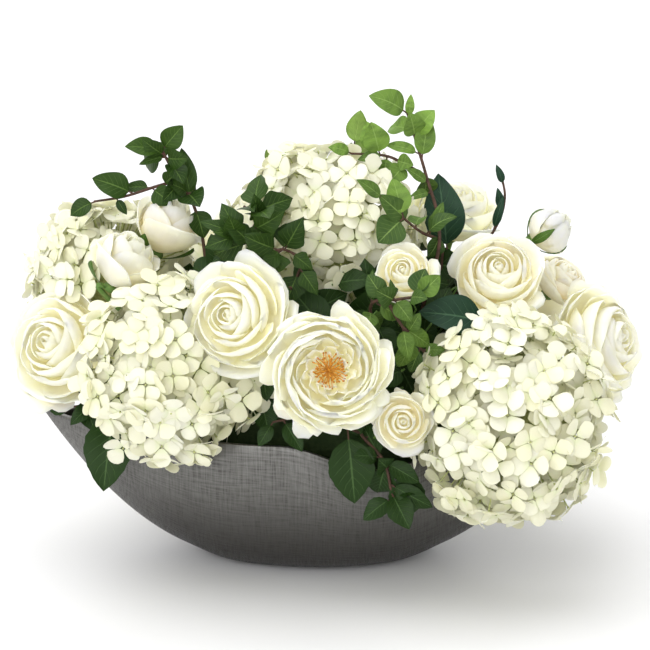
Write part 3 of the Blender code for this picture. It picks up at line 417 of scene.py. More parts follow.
class BowlSettings(bpy.types.PropertyGroup):
    """Finish of the bowl"""

    light: colour("Light strokes", "Colour of the raised brush strokes", (0.200, 0.197, 0.188))
    dark: colour("Dark strokes", "Colour between the brush strokes", (0.095, 0.092, 0.085))
    stroke_pitch: length("Stroke pitch", "Distance between brush strokes", 0.0015)
    roughness: share("Roughness", "Roughness of the lacquer", 0.36)


class RoseSettings(bpy.types.PropertyGroup):
    """Cloth of the rose petals"""

    petal: colour("Petal", "Colour of the outer petals", (0.985, 1.0, 0.85))
    # The heart colour is the rose's own deeper yellow, and it also serves as painted warm shade deep between
    # the petals
    heart: colour("Heart", "Colour deep between the petals", (1.0, 0.93, 0.52))
    blush: colour("Blush", "Peach tint at the foot of some petals", (0.86, 0.52, 0.26))
    fresh: colour("Green tint", "Tint of the outermost petals", (0.74, 0.80, 0.46))
    thickness: length("Thickness", "Thickness in the middle of a petal", 0.0008)


class HydrangeaSettings(bpy.types.PropertyGroup):
    """Cloth and size of the hydrangea florets"""

    petal: colour("Petal", "Colour of the florets", (0.79, 0.78, 0.62))
    fresh: colour("Green tint", "Colour at a floret's eye", (0.70, 0.78, 0.42))
    stalk: colour("Stalk", "Colour of the small branches inside a head", (0.32, 0.36, 0.14))
    floret_radius: length("Floret radius", "From a floret's eye to its petals' tips", 0.0170)
    florets: bpy.props.IntProperty(name="Florets", description="Florets on a head of 79 mm radius",
                                   default=250, min=20)


class LeafSettings(bpy.types.PropertyGroup):
    """Cloth of the leaves and stems"""

    leaf: colour("Leaf", "Colour of the sprig leaves", (0.041, 0.090, 0.009))
    bright: colour("Bright leaf", "Colour of the young leaves", (0.190, 0.325, 0.052))
    shade: colour("Shaded leaf", "Darkest colour of the sprig leaves", (0.013, 0.034, 0.005))
    deep: colour("Deep leaf", "Colour of the leaves low in the bowl", (0.019, 0.048, 0.010))
    sage: colour("Sage leaf", "Colour of the blue-green leaves", (0.020, 0.055, 0.027))
    twig: colour("Twig", "Colour of the woody stems", (0.095, 0.050, 0.036))
    stem: colour("Stem", "Colour of the bloom stems", (0.10, 0.20, 0.045))
    moss: colour("Moss", "Colour of the moss", (0.030, 0.055, 0.012))
    foam: colour("Foam", "Colour of the floral foam", (0.035, 0.060, 0.022))


class StageSettings(bpy.types.PropertyGroup):
    """Floor, light and camera"""

    floor: colour("Floor", "Colour of the floor", (0.75, 0.75, 0.757))
    sky: bpy.props.FloatProperty(name="Sky", description="Strength of the even light", default=0.80, min=0)
    key: bpy.props.FloatProperty(name="Key", description="Strength of the soft light from above",
                                 default=1.85, min=0)
    fill: bpy.props.FloatProperty(name="Fill", description="Strength of the soft light from the front",
                                  default=1.78, min=0)
    camera_distance: length("Distance", "Camera to the middle of the flowers", 2.0)
    camera_elevation: bpy.props.FloatProperty(name="Elevation", description="Height of the camera's aim",
                                              default=math.radians(14), subtype="ANGLE")


# --- Shader node helpers

def node(tree, kind, inputs=None, **values):
    """A new node in tree with its properties and inputs set. An input may be a value, a socket or a mask."""
    made = tree.nodes.new(kind)
    for key, value in values.items():
        setattr(made, key, value)
    for key, value in (inputs or {}).items():
        if isinstance(value, Mask):
            value = value.socket
        if isinstance(value, bpy.types.NodeSocket):
            tree.links.new(value, made.inputs[key])
        else:
            made.inputs[key].default_value = value
    return made


class Mask:
    """A value that changes over the surface. Arithmetic on it adds Math nodes to its node tree."""

    def __init__(self, socket):
        self.socket = socket
        self.tree = socket.id_data

    def maths(self, operation, *values, **options):
        return Mask(node(self.tree, "ShaderNodeMath", dict(enumerate(values)), operation=operation,
                         **options).outputs[0])

    def __add__(self, other):
        return self.maths("ADD", self, other)

    def __radd__(self, other):
        return self.maths("ADD", other, self)

    def __sub__(self, other):
        return self.maths("SUBTRACT", self, other)

    def __rsub__(self, other):
        return self.maths("SUBTRACT", other, self)

    def __mul__(self, other):
        return self.maths("MULTIPLY", self, other)

    def __pow__(self, other):
        return self.maths("POWER", self, other)

    def __abs__(self):
        return self.maths("ABSOLUTE", self)

    def ramp(self, low, high):
        """0 below low, 1 above high, and smooth between them."""
        return Mask(node(self.tree, "ShaderNodeMapRange", {"Value": self, "From Min": low, "From Max": high},
                         interpolation_type="SMOOTHSTEP").outputs["Result"])


def mixed(mask, first, second):
    """A mix of two colours by a mask, each colour an RGB value or a socket."""
    ends = [end if isinstance(end, bpy.types.NodeSocket) else (*end, 1) for end in (first, second)]
    return node(mask.tree, "ShaderNodeMix", {0: mask, 6: ends[0], 7: ends[1]}, data_type="RGBA").outputs[2]


def clouds(place, scale, detail, roughness=0.5):
    """Soft noise at that place."""
    return Mask(node(place.tree, "ShaderNodeTexNoise", {
        "Vector": place, "Scale": scale, "Detail": detail, "Roughness": roughness}).outputs[0])


def scaled(place, sizes, operation="MULTIPLY"):
    """A place stretched along each axis."""
    made = node(place.tree, "ShaderNodeVectorMath", {0: place, 1: sizes}, operation=operation)
    return Mask(made.outputs[0])


def parts(place):
    """The three parts of a place."""
    return [Mask(part) for part in node(place.tree, "ShaderNodeSeparateXYZ", {0: place}).outputs]


def feed(taker, **values):
    """Links each socket or mask to the input of that name."""
    for name, value in values.items():
        socket = value.socket if isinstance(value, Mask) else value
        taker.id_data.links.new(socket, taker.inputs[name.replace("_", " ")])


def new_group(name, inputs, outputs):
    """An empty node group with a vector input Place, float inputs {name: default} and float outputs."""
    tree = bpy.data.node_groups.new(name, "ShaderNodeTree")
    tree.interface.new_socket("Place", in_out="INPUT", socket_type="NodeSocketVector")
    for key, default in inputs.items():
        tree.interface.new_socket(key, in_out="INPUT", socket_type="NodeSocketFloat").default_value = default
    for key in outputs:
        tree.interface.new_socket(key, in_out="OUTPUT", socket_type="NodeSocketFloat")
    given = {socket.name: Mask(socket) for socket in tree.nodes.new("NodeGroupInput").outputs}
    return given, tree.nodes.new("NodeGroupOutput")


def use_group(build, place, **inputs):
    """The outputs of a node that holds the group that build makes on first use."""
    group = bpy.data.node_groups.get(build.__name__) or build()
    made = node(place.tree, "ShaderNodeGroup", {"Place": place, **inputs}, node_tree=group)
    return {socket.name: Mask(socket) for socket in made.outputs}


def cloth_veins():
    """Fine lines that fan out from a petal's or leaf's root, with blotches, from its own (u, v, tone)."""
    given, result = new_group("cloth_veins", {"Lines": 9.0, "Along": 1.2}, ("Lines", "Blotches"))
    across, along, tone = parts(given["Place"])
    place = Mask(node(result.id_data, "ShaderNodeCombineXYZ", {
        0: across * given["Lines"], 1: along * given["Along"], 2: tone * 37.0}).outputs[0])
    feed(result, Lines=clouds(place, 1.0, 3.0), Blotches=clouds(scaled(place, (0.22, 1.6, 1.0)), 1.0, 2.0))
    return result.id_data


def leaf_veins():
    """A leaf's midrib and its slanting side veins, from its own (u, v, tone)."""
    given, result = new_group("leaf_veins", {"Pairs": 7.0, "Slant": 0.30}, ("Midrib", "Veins"))
    across, along, _ = parts(given["Place"])
    side = abs(across)
    slanted = along - side * given["Slant"]
    vein = 1.0 - side.maths("PINGPONG", slanted * given["Pairs"], 0.5).ramp(0.02, 0.10)
    feed(result, Midrib=1.0 - side.ramp(0.02, 0.07), Veins=vein * (1.0 - side.ramp(0.55, 0.95)))
    return result.id_data


def cross_strokes():
    """Brush strokes along and across a surface, from its own (along, across) in metres."""
    given, result = new_group("cross_strokes", {"Pitch": 0.002}, ("Strokes", "Marks"))
    place = scaled(given["Place"], given["Pitch"], "DIVIDE")
    along, across = (clouds(scaled(place, sizes), 1.0, 4.0, 0.62).ramp(0.34, 0.66)
                     for sizes in ((0.07, 1.0, 1.0), (1.0, 0.07, 1.0)))
    feed(result, Strokes=(along + across) * 0.5, Marks=(1.0 - along) * (1.0 - across))
    return result.id_data


# --- Materials

def new_material(name, **constants):
    """A material with its Principled BSDF's constants set, as (material, shader)."""
    made = bpy.data.materials.new(name)
    made.use_nodes = True
    shader = made.node_tree.nodes["Principled BSDF"]
    for key, value in constants.items():
        shader.inputs[key.replace("_", " ")].default_value = value
    return made, shader


def own_place(shader, name="blade"):
    """The (across, along, tone) that each petal or leaf carries."""
    return Mask(node(shader.id_data, "ShaderNodeAttribute", attribute_name=name).outputs["Vector"])


def object_place(shader):
    return Mask(node(shader.id_data, "ShaderNodeTexCoord").outputs["Object"])


def bump(shader, height, strength, distance):
    made = node(shader.id_data, "ShaderNodeBump", {"Height": height, "Strength": strength,
                                                   "Distance": distance})
    feed(shader, Normal=made.outputs[0])


def rose_cloth(settings):
    """Cream petal cloth: warmer towards the heart, pale at the lips, veined lengthwise, with a faint painted
    glow that is strongest at the root.
    """
    made, shader = new_material(
        "rose_cloth", Sheen_Weight=0.1, Sheen_Roughness=0.5, Subsurface_Weight=0.75, Subsurface_Scale=0.013,
        Subsurface_Radius=(1.0, 0.98, 0.60), Emission_Strength=1.0)
    place = own_place(shader)
    _, along, tone = parts(place)
    heart, fresh, blush = parts(own_place(shader, "tint"))
    veins = use_group(cloth_veins, place, Lines=11.0, Along=1.0)
    # Towards each petal's root, and more on the inner rings, the colour goes over to the heart colour: partly
    # the rose's own deeper yellow heart, partly painted warm shade deep between the petals
    root = 1.0 - along.ramp(0.42, 1.0)
    heart_and_painted_shade = root.maths("MULTIPLY", root, 0.35 + heart * 0.55, use_clamp=True)
    base = mixed(heart_and_painted_shade, settings.petal, settings.heart)
    base = mixed(fresh * 0.55, base, settings.fresh)
    base = mixed(blush * 0.8, base, settings.blush)
    base = mixed(veins["Blotches"].ramp(0.30, 0.80) * 0.16, base, settings.heart)
    base = mixed(veins["Lines"].ramp(0.5, 0.75) * 0.10, base, (0.80, 0.76, 0.55))
    # painted glow: a faint emission, strongest at each petal's root, stands in for light shining through the
    # petals and lifts the shade between them
    painted_glow = mixed(root, (0.016, 0.016, 0.010), (0.072, 0.064, 0.034))
    feed(shader, Base_Color=base, Emission_Color=painted_glow, Roughness=0.52 + tone * 0.12)
    bump(shader, veins["Lines"], 0.35, 0.0006)
    return made


def hydrangea_cloth(settings):
    """White floret cloth with a green eye and fine veins; some florets are creamier than others, and a faint
    painted glow is strongest at the eye.
    """
    made, shader = new_material(
        "hydrangea_cloth", Sheen_Weight=0.1, Sheen_Roughness=0.5, Subsurface_Weight=0.3,
        Subsurface_Scale=0.004, Subsurface_Radius=(1.0, 0.96, 0.65), Emission_Strength=1.0)
    place = own_place(shader)
    _, along, tone = parts(place)
    veins = use_group(cloth_veins, place, Lines=4.0, Along=0.8)
    eye = 1.0 - along.ramp(0.02, 0.45)
    base = mixed(tone * 0.55, settings.petal, (0.76, 0.735, 0.41))
    base = mixed(eye * 0.50, base, settings.fresh)
    base = mixed(veins["Lines"].ramp(0.48, 0.75) * 0.16, base, (0.76, 0.78, 0.60))
    # painted glow: a faint emission, strongest at the eye, stands in for light shining through the florets
    # and lightens the shade between them
    painted_glow = mixed(eye, (0.020, 0.020, 0.014), (0.040, 0.040, 0.018))
    feed(shader, Base_Color=base, Emission_Color=painted_glow, Roughness=0.5 + veins["Blotches"] * 0.15)
    bump(shader, veins["Lines"], 0.3, 0.0004)
    return made


def leaf_cloth(name, light, dark, vein):
    """Satin leaf cloth between two greens by each leaf's tone, with a pale midrib and side veins."""
    made, shader = new_material(name, Specular_IOR_Level=0.15)
    place = own_place(shader)
    tone = parts(place)[2]
    under = parts(own_place(shader, "tint"))[0]
    veins = use_group(leaf_veins, place)
    cloth = use_group(cloth_veins, place, Lines=3.0, Along=4.0)
    base = mixed(tone ** 1.35, dark, light)
    base = mixed(cloth["Blotches"].ramp(0.35, 0.75) * 0.45, base, dark)
    for mask, strength in ((under, 0.45), (veins["Veins"], 0.17), (veins["Midrib"], 0.42)):
        base = mixed(mask * strength, base, vein)
    feed(shader, Base_Color=base, Roughness=0.36 + cloth["Lines"] * 0.2)
    sunk = tone.maths("MAXIMUM", veins["Veins"], veins["Midrib"])
    bump(shader, cloth["Lines"] * 0.35 - sunk, 0.45, 0.0008)
    return made


def grown(name, base_colour, other, scale, rough, depth):
    """A speckled matt finish for stems, foam, moss and stamens."""
    made, shader = new_material(name, Specular_IOR_Level=0.2)
    grain = clouds(object_place(shader), scale, 4.0)
    feed(shader, Base_Color=mixed(grain.ramp(0.35, 0.68), base_colour, other), Roughness=rough + grain * 0.15)
    bump(shader, grain, 0.6, depth)
    return made


def pewter(settings):
    """Cross-brushed grey metal, with painted shade that makes it darker and browner towards the foot."""
    made, shader = new_material("brushed_pewter", Anisotropic=0.3)
    brushed = use_group(cross_strokes, own_place(shader, "strokes"), Pitch=settings.stroke_pitch)
    strokes, marks = brushed["Strokes"], brushed["Marks"]
    place = object_place(shader)
    # painted shade: the base colour darkens and browns towards the foot, where less light falls from above
    low = 1.0 - (parts(place)[2] + (clouds(place, 9.0, 2.0) - 0.5) * 0.03).ramp(0.0, 0.115)
    base = mixed(strokes, settings.dark, settings.light)
    base = mixed(marks.ramp(0.5, 0.85) * 0.42, base, (0.05, 0.048, 0.044))
    base = mixed(low * 0.80, base, (0.026, 0.023, 0.019))
    feed(shader, Base_Color=base, Metallic=0.75 - marks * 0.35, Roughness=settings.roughness + marks * 0.25)
    bump(shader, strokes, 0.35, 0.0006)
    return made


# --- Shape helpers

def new_shape():
    """An empty mesh whose points carry their place on a petal or leaf, and their tint."""
    bm = bmesh.new()
    bm.verts.layers.float_vector.new("blade")
    bm.verts.layers.float_vector.new("tint")
    return bm


def finish_piece(name, bm, materials, slot, *nodes):
    """Turns bm into the named piece, which stands for those nodes of the solid model."""
    mesh = bpy.data.meshes.new(name)
    bm.to_mesh(mesh)
    bm.free()
    for material in materials:
        mesh.materials.append(material)
    mesh.shade_smooth()
    mesh.set_sharp_from_angle(angle=math.radians(60))
    piece = bpy.data.objects.new(name, mesh)
    bpy.context.scene.collection.objects.link(piece)
    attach(piece, ROOT)
    if nodes:
        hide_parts(*nodes)


def aim(facing, base, turn=0.0):
    """The matrix that stands a piece at base with its own +Z along facing."""
    upright = Vector(facing).to_track_quat("Z", "Y").to_matrix().to_4x4()
    return Matrix.Translation(base) @ upright @ Matrix.Rotation(turn, 4, "Z")


def ease(low, high, value):
    """0 below low, 1 above high, and smooth between them."""
    t = min(max((value - low) / (high - low), 0), 1)
    return t * t * (3 - 2 * t)


def through(values, v):
    """The value at v of the parabola through three values at 0, 0.5 and 1."""
    first, middle, last = values
    return first * (2 * v - 1) * (v - 1) + middle * 4 * v * (1 - v) + last * v * (2 * v - 1)


def interpolate(values, v):
    """The value at v, from 0 to 1, along evenly spaced values."""
    place = min(max(v, 0), 1) * (len(values) - 1)
    i = min(int(place), len(values) - 2)
    return values[i] + (values[i + 1] - values[i]) * (place - i)


def smooth_path(points, steps):
    """Points on a smooth curve through the points, with steps between each two."""
    ends = [points[0] * 2 - points[1], *points, points[-1] * 2 - points[-2]]
    made = []
    for a, b, c, d in zip(ends, ends[1:], ends[2:], ends[3:]):
        for k in range(steps):
            t = k / steps
            bend = (a * 2 - b * 5 + c * 4 - d) * t ** 2 + (b * 3 - a - c * 3 + d) * t ** 3
            made.append((b * 2 + (c - a) * t + bend) / 2)
    return [*made, points[-1]]


def add_blade(bm, surface, columns, rows, thickness, tone=0.5, tint=None, under=0.0, material=0):
    """A petal or leaf: two sheets that follow surface(u, v), thickness apart inside and closed at the edge.

    u runs from -1 to 1 across and v from 0 at the root to 1 at the tip. tint(u, v) gives three shares of
    colour; under is added to the first one on the lower sheet.
    """
    place, hue = bm.verts.layers.float_vector["blade"], bm.verts.layers.float_vector["tint"]
    upper = bmesh.ops.create_grid(bm, x_segments=columns, y_segments=rows, size=1)["verts"]
    faces = list({face for vert in upper for face in vert.link_faces})
    for vert in upper:
        u, v = vert.co.x, (vert.co.y + 1) / 2
        vert[place] = (u, v, tone)
        vert[hue] = tint(u, v) if tint else (0, 0, 0)
        vert.co = surface(u, v)
    for face in faces:
        face.material_index = material
        face.normal_update()
    for vert in upper:
        vert.normal_update()
    copy = bmesh.ops.duplicate(bm, geom=faces)
    lower = [item for item in copy["geom"] if isinstance(item, bmesh.types.BMFace)]
    bmesh.ops.reverse_faces(bm, faces=lower)
    welds = {}
    for vert in upper:
        twin = copy["vert_map"][vert]
        if vert.is_boundary:
            welds[twin] = vert
            continue
        offset = vert.normal * thickness / 2
        vert.co += offset
        twin.co -= offset
        twin[hue] = Vector(twin[hue]) + Vector((under, 0, 0))
    bmesh.ops.weld_verts(bm, targetmap=welds)


def add_tube(bm, path, radius_at, sides, material=0):
    """A closed tube along path, whose radius_at gives its radius at a share of the way."""
    rows = len(path) - 1
    place = bm.verts.layers.float_vector["blade"]
    verts = bmesh.ops.create_grid(bm, x_segments=sides, y_segments=rows, size=1)["verts"]
    side = (path[1] - path[0]).orthogonal().normalized()
    frames = []
    for i, point in enumerate(path):
        ahead = (path[min(i + 1, rows)] - path[max(i - 1, 0)]).normalized()
        side = (side - ahead * side.dot(ahead)).normalized()
        frames.append((point, side, ahead.cross(side)))
    for vert in verts:
        i = round((vert.co.y + 1) / 2 * rows)
        turn = math.pi * vert.co.x
        point, first, second = frames[i]
        vert[place] = (0, i / rows, 0.5)
        vert.co = point + (first * math.cos(turn) + second * math.sin(turn)) * radius_at(i / rows)
    for face in {face for vert in verts for face in vert.link_faces}:
        face.material_index = material
    bmesh.ops.remove_doubles(bm, verts=verts, dist=1e-7)
    verts = [vert for vert in verts if vert.is_valid]
    rims = list({edge for vert in verts for edge in vert.link_edges if edge.is_boundary})
    for cap in bmesh.ops.holes_fill(bm, edges=rims)["faces"]:
        cap.material_index = material
    bmesh.ops.recalc_face_normals(bm, faces=list({face for vert in verts for face in vert.link_faces}))


def add_ball(bm, matrix, subdivisions=1, material=0, tint=(0, 0, 0)):
    """A round body, shaped and placed by matrix."""
    place, hue = bm.verts.layers.float_vector["blade"], bm.verts.layers.float_vector["tint"]
    verts = bmesh.ops.create_icosphere(bm, subdivisions=subdivisions, radius=1, matrix=matrix)["verts"]
    for vert in verts:
        vert[place] = (0, 0, 0.5)
        vert[hue] = tint
    for face in {face for vert in verts for face in vert.link_faces}:
        face.material_index = material
    return verts


# --- Where things are

def rim_height(x, side):
    """The rim's height at x on the front (-1) or back (1) wall."""
    horn = HORN_LIFT * max(0, 1 - (BOWL_HALF_LENGTH - abs(x)) / HORN_LENGTH) ** 2
    away = (x + side * DIP_CENTRE) / DIP_HALF_LENGTH
    dip = DIP_DEPTH * math.cos(away * math.pi / 2) ** 2 if abs(away) < 1 else 0
    return BOWL_HEIGHT + horn - dip


def bloom_foot(name):
    """The middle of a bloom's flat underside, and the way the bloom faces."""
    centre, radius, facing, *form = ROSES.get(name) or HYDRANGEAS[name]
    facing = Vector(facing).normalized()
    low = ROSE_LOW[form[0]] if form else -HEAD_CORE * HEAD_FOOT
    return Vector(centre) * MM + facing * radius * MM * low, facing


def stem_points(name):
    """A bloom's stem from inside the foam to just under the bloom."""
    foot, facing = bloom_foot(name)
    neck = foot - facing * STEM_NECK
    entry = Vector((STEM_ENDS[name][0] * MM, STEM_ENDS[name][1] * MM, FOAM_TOP))
    return [entry + (entry - neck).normalized() * STEM_SUNK, neck, foot - facing * STEM_GAP]


def distance_to(point, start, end, radius):
    """How far a point is from a round-ended rod."""
    if (end - start).length < 1e-9:
        return (point - start).length - radius
    nearest, along = intersect_point_line(point, start, end)
    nearest = start if along < 0 else end if along > 1 else nearest
    return (point - nearest).length - radius


def rods_around(name):
    """The blooms, stems and leaves that a head's florets keep clear of, as (start, end, radius) rods."""
    rods = []
    for other, (centre, radius, *_) in {**ROSES, **HYDRANGEAS}.items():
        if other != name:
            size = 0.97 if other in ROSES else 0.80
            rods.append((Vector(centre) * MM, Vector(centre) * MM, radius * MM * size))
    for *_, stems, leaves in SPRAYS.values():
        for stem in stems:
            rods += [(Vector(a) * MM, Vector(b) * MM, 0.001) for a, b in zip(stem, stem[1:])]
        for root, tip, width, _ in leaves:
            rods.append((Vector(root) * MM, Vector(tip) * MM, width * MM * 0.40))
    return rods


def near_bowl(point, clearance):
    """Whether the point is that close to the bowl's wall."""
    x = abs(point.x)
    if x > BOWL_HALF_LENGTH or point.z > rim_height(point.x, math.copysign(1, point.y)) + clearance:
        return False
    rim = BOWL_HALF_DEPTH * (1 - (x / BOWL_HALF_LENGTH) ** 2)
    sunk = min(1, max(0, (BOWL_HEIGHT - point.z) / BOWL_HEIGHT))
    return abs(abs(point.y) - rim * math.sqrt(1 - sunk ** 2)) < clearance + BOWL_WALL


# --- Bowl

def hull_skin(bm, half_length, half_depth, floor, foot, stations, rows):
    """A boat hull's open skin: a parabolic keel, quarter-ellipse sides and a rim. Returns its points."""
    strokes = bm.verts.layers.float_vector["strokes"]
    tip_height = rim_height(half_length, 1)

    def place(along, across):
        """The point at station along, -1 to 1, and row across, -rows to rows."""
        x = abs(half_length * math.sin(along * math.pi / 2))
        run = max(0, x - FOOT_HALF_LENGTH) / (half_length - FOOT_HALF_LENGTH)
        keel = floor + (tip_height - floor) * run ** 2
        width = half_depth * max(0, 1 - (x / half_length) ** 2)
        flat = min(foot * max(0, 1 - (x / (half_length * KEEL_SHARE)) ** 2) ** 1.3, width)
        x, side = math.copysign(x, along), math.copysign(1, across)
        row = abs(across)
        if row <= 1:
            return Vector((x, side * flat * row, keel))
        climb = (row - 1) / (rows - 1) * math.pi / 2
        return Vector((x, side * (flat + (width - flat) * math.sin(climb)),
                       keel + (max(rim_height(x, side), keel) - keel) * (1 - math.cos(climb))))

    verts = bmesh.ops.create_grid(bm, x_segments=stations, y_segments=2 * rows, size=1)["verts"]
    for vert in verts:
        along, across = vert.co.x, vert.co.y * rows
        vert.co = place(along, across)
        vert[strokes] = (vert.co.x, across / rows * half_depth * 1.5, 0)
    bmesh.ops.remove_doubles(bm, verts=verts, dist=1e-5)
    return [vert for vert in verts if vert.is_valid]


class CENTREPIECE_OT_bowl(bpy.types.Operator):
    """Build the boat-shaped bowl with its rounded rim"""

    bl_idname = "centrepiece.bowl"
    bl_label = "Bowl"

    def execute(self, context):
        settings = context.scene.centrepiece_bowl
        bm = bmesh.new()
        bm.verts.layers.float_vector.new("strokes")
        rim = []
        for inset_end, inset_side, floor, foot in (
                (0, 0, 0, FOOT_HALF_DEPTH),
                (BOWL_END_WALL, BOWL_WALL, BOWL_FLOOR, FOOT_HALF_DEPTH - BOWL_WALL / 2)):
            skin = hull_skin(bm, BOWL_HALF_LENGTH - inset_end, BOWL_HALF_DEPTH - inset_side, floor, foot,
                             stations=96, rows=22)
            faces = list({face for vert in skin for face in vert.link_faces})
            bmesh.ops.recalc_face_normals(bm, faces=faces)
            rim += {edge for vert in skin for edge in vert.link_edges if edge.is_boundary}
        bmesh.ops.bridge_loops(bm, edges=rim)
        bmesh.ops.recalc_face_normals(bm, faces=bm.faces)
        bmesh.ops.bevel(bm, geom=[edge for edge in rim if edge.is_valid], offset=0.0007, segments=2,
                        profile=0.5, affect="EDGES", material=-1)
        finish_piece("bowl_brushed", bm, [pewter(settings)], "bowl", "bowl")
        return {"FINISHED"}


class CENTREPIECE_OT_foam(bpy.types.Operator):
    """Give the foam its finish and cover its top with moss"""

    bl_idname = "centrepiece.foam"
    bl_label = "Foam and Moss"

    def execute(self, context):
        settings = context.scene.centrepiece_leaves
        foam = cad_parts["floral_foam"]
        foam.data.materials.clear()
        foam.data.materials.append(
            grown("floral_foam", settings.foam, (0.05, 0.08, 0.03), 260, 0.85, 0.0008))
        bm = new_shape()
        mound = Matrix.Translation((0, 0, FOAM_TOP)) @ Matrix.Diagonal(
            (FOAM_HALF_LENGTH, FOAM_HALF_DEPTH * 1.02, 0.010, 1))
        for vert in add_ball(bm, mound, subdivisions=5):
            vert.co.z += 0.004 * (noise.noise(vert.co * 90) + 0.5 * noise.noise(vert.co * 260))
        chance = random.Random(11)
        for _ in range(MOSS_TUFTS):
            angle, out = chance.uniform(0, 2 * math.pi), math.sqrt(chance.random())
            root = Vector((FOAM_HALF_LENGTH * out * math.cos(angle), FOAM_HALF_DEPTH * out * math.sin(angle),
                           FOAM_TOP + 0.008 * math.sqrt(1 - out * out)))
            way = Vector((chance.uniform(-1, 1), chance.uniform(-1, 1), 1.1))
            bmesh.ops.create_cone(bm, segments=3, radius1=0.0008, radius2=0.0001, depth=0.011, cap_ends=True,
                                  matrix=aim(way, root))
        moss = grown("moss", settings.moss, (0.09, 0.11, 0.02), 180, 0.85, 0.001)
        finish_piece("moss", bm, [moss], "foam")
        return {"FINISHED"}


# --- Roses

def rose_petal(middle, half_width, distances, heights, droop, roll, ruffle, phase, point=0.42):
    """The surface of one cupped petal, in shares of the rose's radius, with the rose's axis along +Z."""

    def surface(u, v):
        side = abs(u)
        reach = v * math.sqrt(1 - point * side ** (4 if point < 0.5 else 2))
        spread = half_width * (0.62 + 0.38 * math.sin(min(reach / 0.6, 1) * math.pi / 2))
        curl = max(0, reach - 0.70) / 0.30
        bend = (1.0 + 15 * roll) * curl + 0.7 * ease(0.7, 1, side) * ease(0.4, 0.8, v)
        wave = ruffle * (math.sin(u * 4.6 + phase) * v * v + 0.5 * math.sin(u * 9 + phase * 2) * curl)
        fold = ruffle * 0.5 * math.sin(u * 3 + v * 5 + phase)
        angle = middle + spread * u * math.sqrt(1 - 0.36 * v ** 4) + 0.3 * wave
        distance = (through(distances, reach) * (1 + ROSE_PINWHEEL * u * v)
                    + roll * (1 - math.cos(bend)) + wave + fold * v)
        height = (through(heights, reach) - droop * v * v * u * u + roll * math.sin(bend)
                  - roll * 1.3 * curl + 0.6 * wave)
        return Vector((distance * math.cos(angle), distance * math.sin(angle), height))

    return surface


def add_rose(bm, name, settings, turn):
    centre, radius, facing, form = ROSES[name]
    form = LAID.get(name, form)
    stand = aim(facing, Vector(centre) * MM, turn) @ Matrix.Scale(radius * MM, 4)
    chance = random.Random(name)
    rings = ROSE_RINGS[form]
    top, low = ROSE_CORES[form], ROSE_LOW[form]
    core = Matrix.Translation((0, 0, (top + low) / 2)) @ Matrix.Diagonal(
        (0.20, 0.20, (top - low) / 2 - 0.02, 1))
    add_ball(bm, stand @ core, subdivisions=3, tint=(1, 0, 0))
    green, peach = ROSE_TINTS.get(name, (0.06, 0.05))

    def add_petal(local, tint, cells):
        add_blade(bm, lambda u, v: stand @ local(u, v), cells, cells, settings.thickness,
                  tone=chance.random(), tint=tint)

    for ring, (count, half_width, distances, heights, droop, roll, ruffle) in enumerate(rings):
        depth = ring / (len(rings) - 1)
        for petal in range(count):
            middle = 2 * math.pi * (petal + 0.5 * ring) / count + chance.uniform(-0.20, 0.20)
            size = chance.uniform(0.96, 1.03)
            lifted = [height + chance.uniform(-0.04, 0.04) * (k > 0) for k, height in enumerate(heights)]
            local = rose_petal(middle, math.radians(half_width) * chance.uniform(0.92, 1.10),
                               [distance * size for distance in distances], lifted, droop,
                               roll * chance.uniform(0.7, 1.3), ruffle, chance.uniform(0, 6),
                               0.42 if ring < 2 else 0.26)
            pinch, outer = chance.random(), (1 - depth) ** 2

            def tint(u, v):
                return depth, green * outer * chance.uniform(0.8, 1), peach * pinch * ease(1.2, 0.2, v)

            add_petal(local, tint, 10 if ring < 5 else 8)
    for way, half_width, distances, heights, fresh, blush in LOOSE_PETALS.get(name, ()):
        across = stand.to_3x3().inverted() @ Vector(way)
        local = rose_petal(math.atan2(across.y, across.x), math.radians(half_width), distances, heights,
                           0.10, 0.03, 0.03, chance.uniform(0, 6), point=0.75)
        add_petal(local, lambda u, v: (0, fresh * (1 - 0.5 * v), blush * (1 - 0.6 * v)), 10)


class CENTREPIECE_OT_roses(bpy.types.Operator):
    """Build every rose from its rings of cupped petals"""

    bl_idname = "centrepiece.roses"
    bl_label = "Roses"

    def execute(self, context):
        settings = context.scene.centrepiece_roses
        cloth = rose_cloth(settings)
        for turn, name in enumerate(ROSES):
            bm = new_shape()
            add_rose(bm, name, settings, turn * 0.7)
            finish_piece(name + "_petals", bm, [cloth], "rose_petals", name)
        return {"FINISHED"}


class CENTREPIECE_OT_stamens(bpy.types.Operator):
    """Build the tuft of stamens in the open garden rose"""

    bl_idname = "centrepiece.stamens"
    bl_label = "Stamens"

    def execute(self, context):
        centre, radius, facing, form = ROSES["rose_garden"]
        radius *= MM
        foot = ROSE_CORES[form] * radius
        stand = aim(facing, Vector(centre) * MM)
        chance = random.Random(4)
        bm = new_shape()
        for i in range(STAMENS):
            lean = math.radians(STAMEN_SPREAD) * math.sqrt((i + 0.5) / STAMENS) + chance.uniform(-0.12, 0.12)
            around = i * GOLDEN_ANGLE
            way = Vector((math.sin(lean) * math.cos(around), math.sin(lean) * math.sin(around),
                          math.cos(lean)))
            bend = Vector((chance.uniform(-1, 1), chance.uniform(-1, 1), 0)) * 0.0012
            length = radius * chance.uniform(0.19, 0.28)
            root = Vector((0, 0, foot)) + way * 0.001
            path = [stand @ point for point in (root, root + way * length * 0.55 + bend, root + way * length)]
            add_tube(bm, smooth_path(path, 2), lambda share: 0.00050, sides=4)
            add_ball(bm, aim(way, path[-1]) @ Matrix.Diagonal((0.0008, 0.0008, 0.0015, 1)), material=1)
        thread = grown("stamen_thread", (0.62, 0.27, 0.03), (0.78, 0.45, 0.10), 500, 0.6, 0.0003)
        pollen = grown("pollen", (0.36, 0.12, 0.01), (0.66, 0.30, 0.03), 900, 0.8, 0.0003)
        finish_piece("rose_garden_tuft", bm, [thread, pollen], "stamens", "rose_garden_stamens")
        return {"FINISHED"}


# --- Hydrangeas

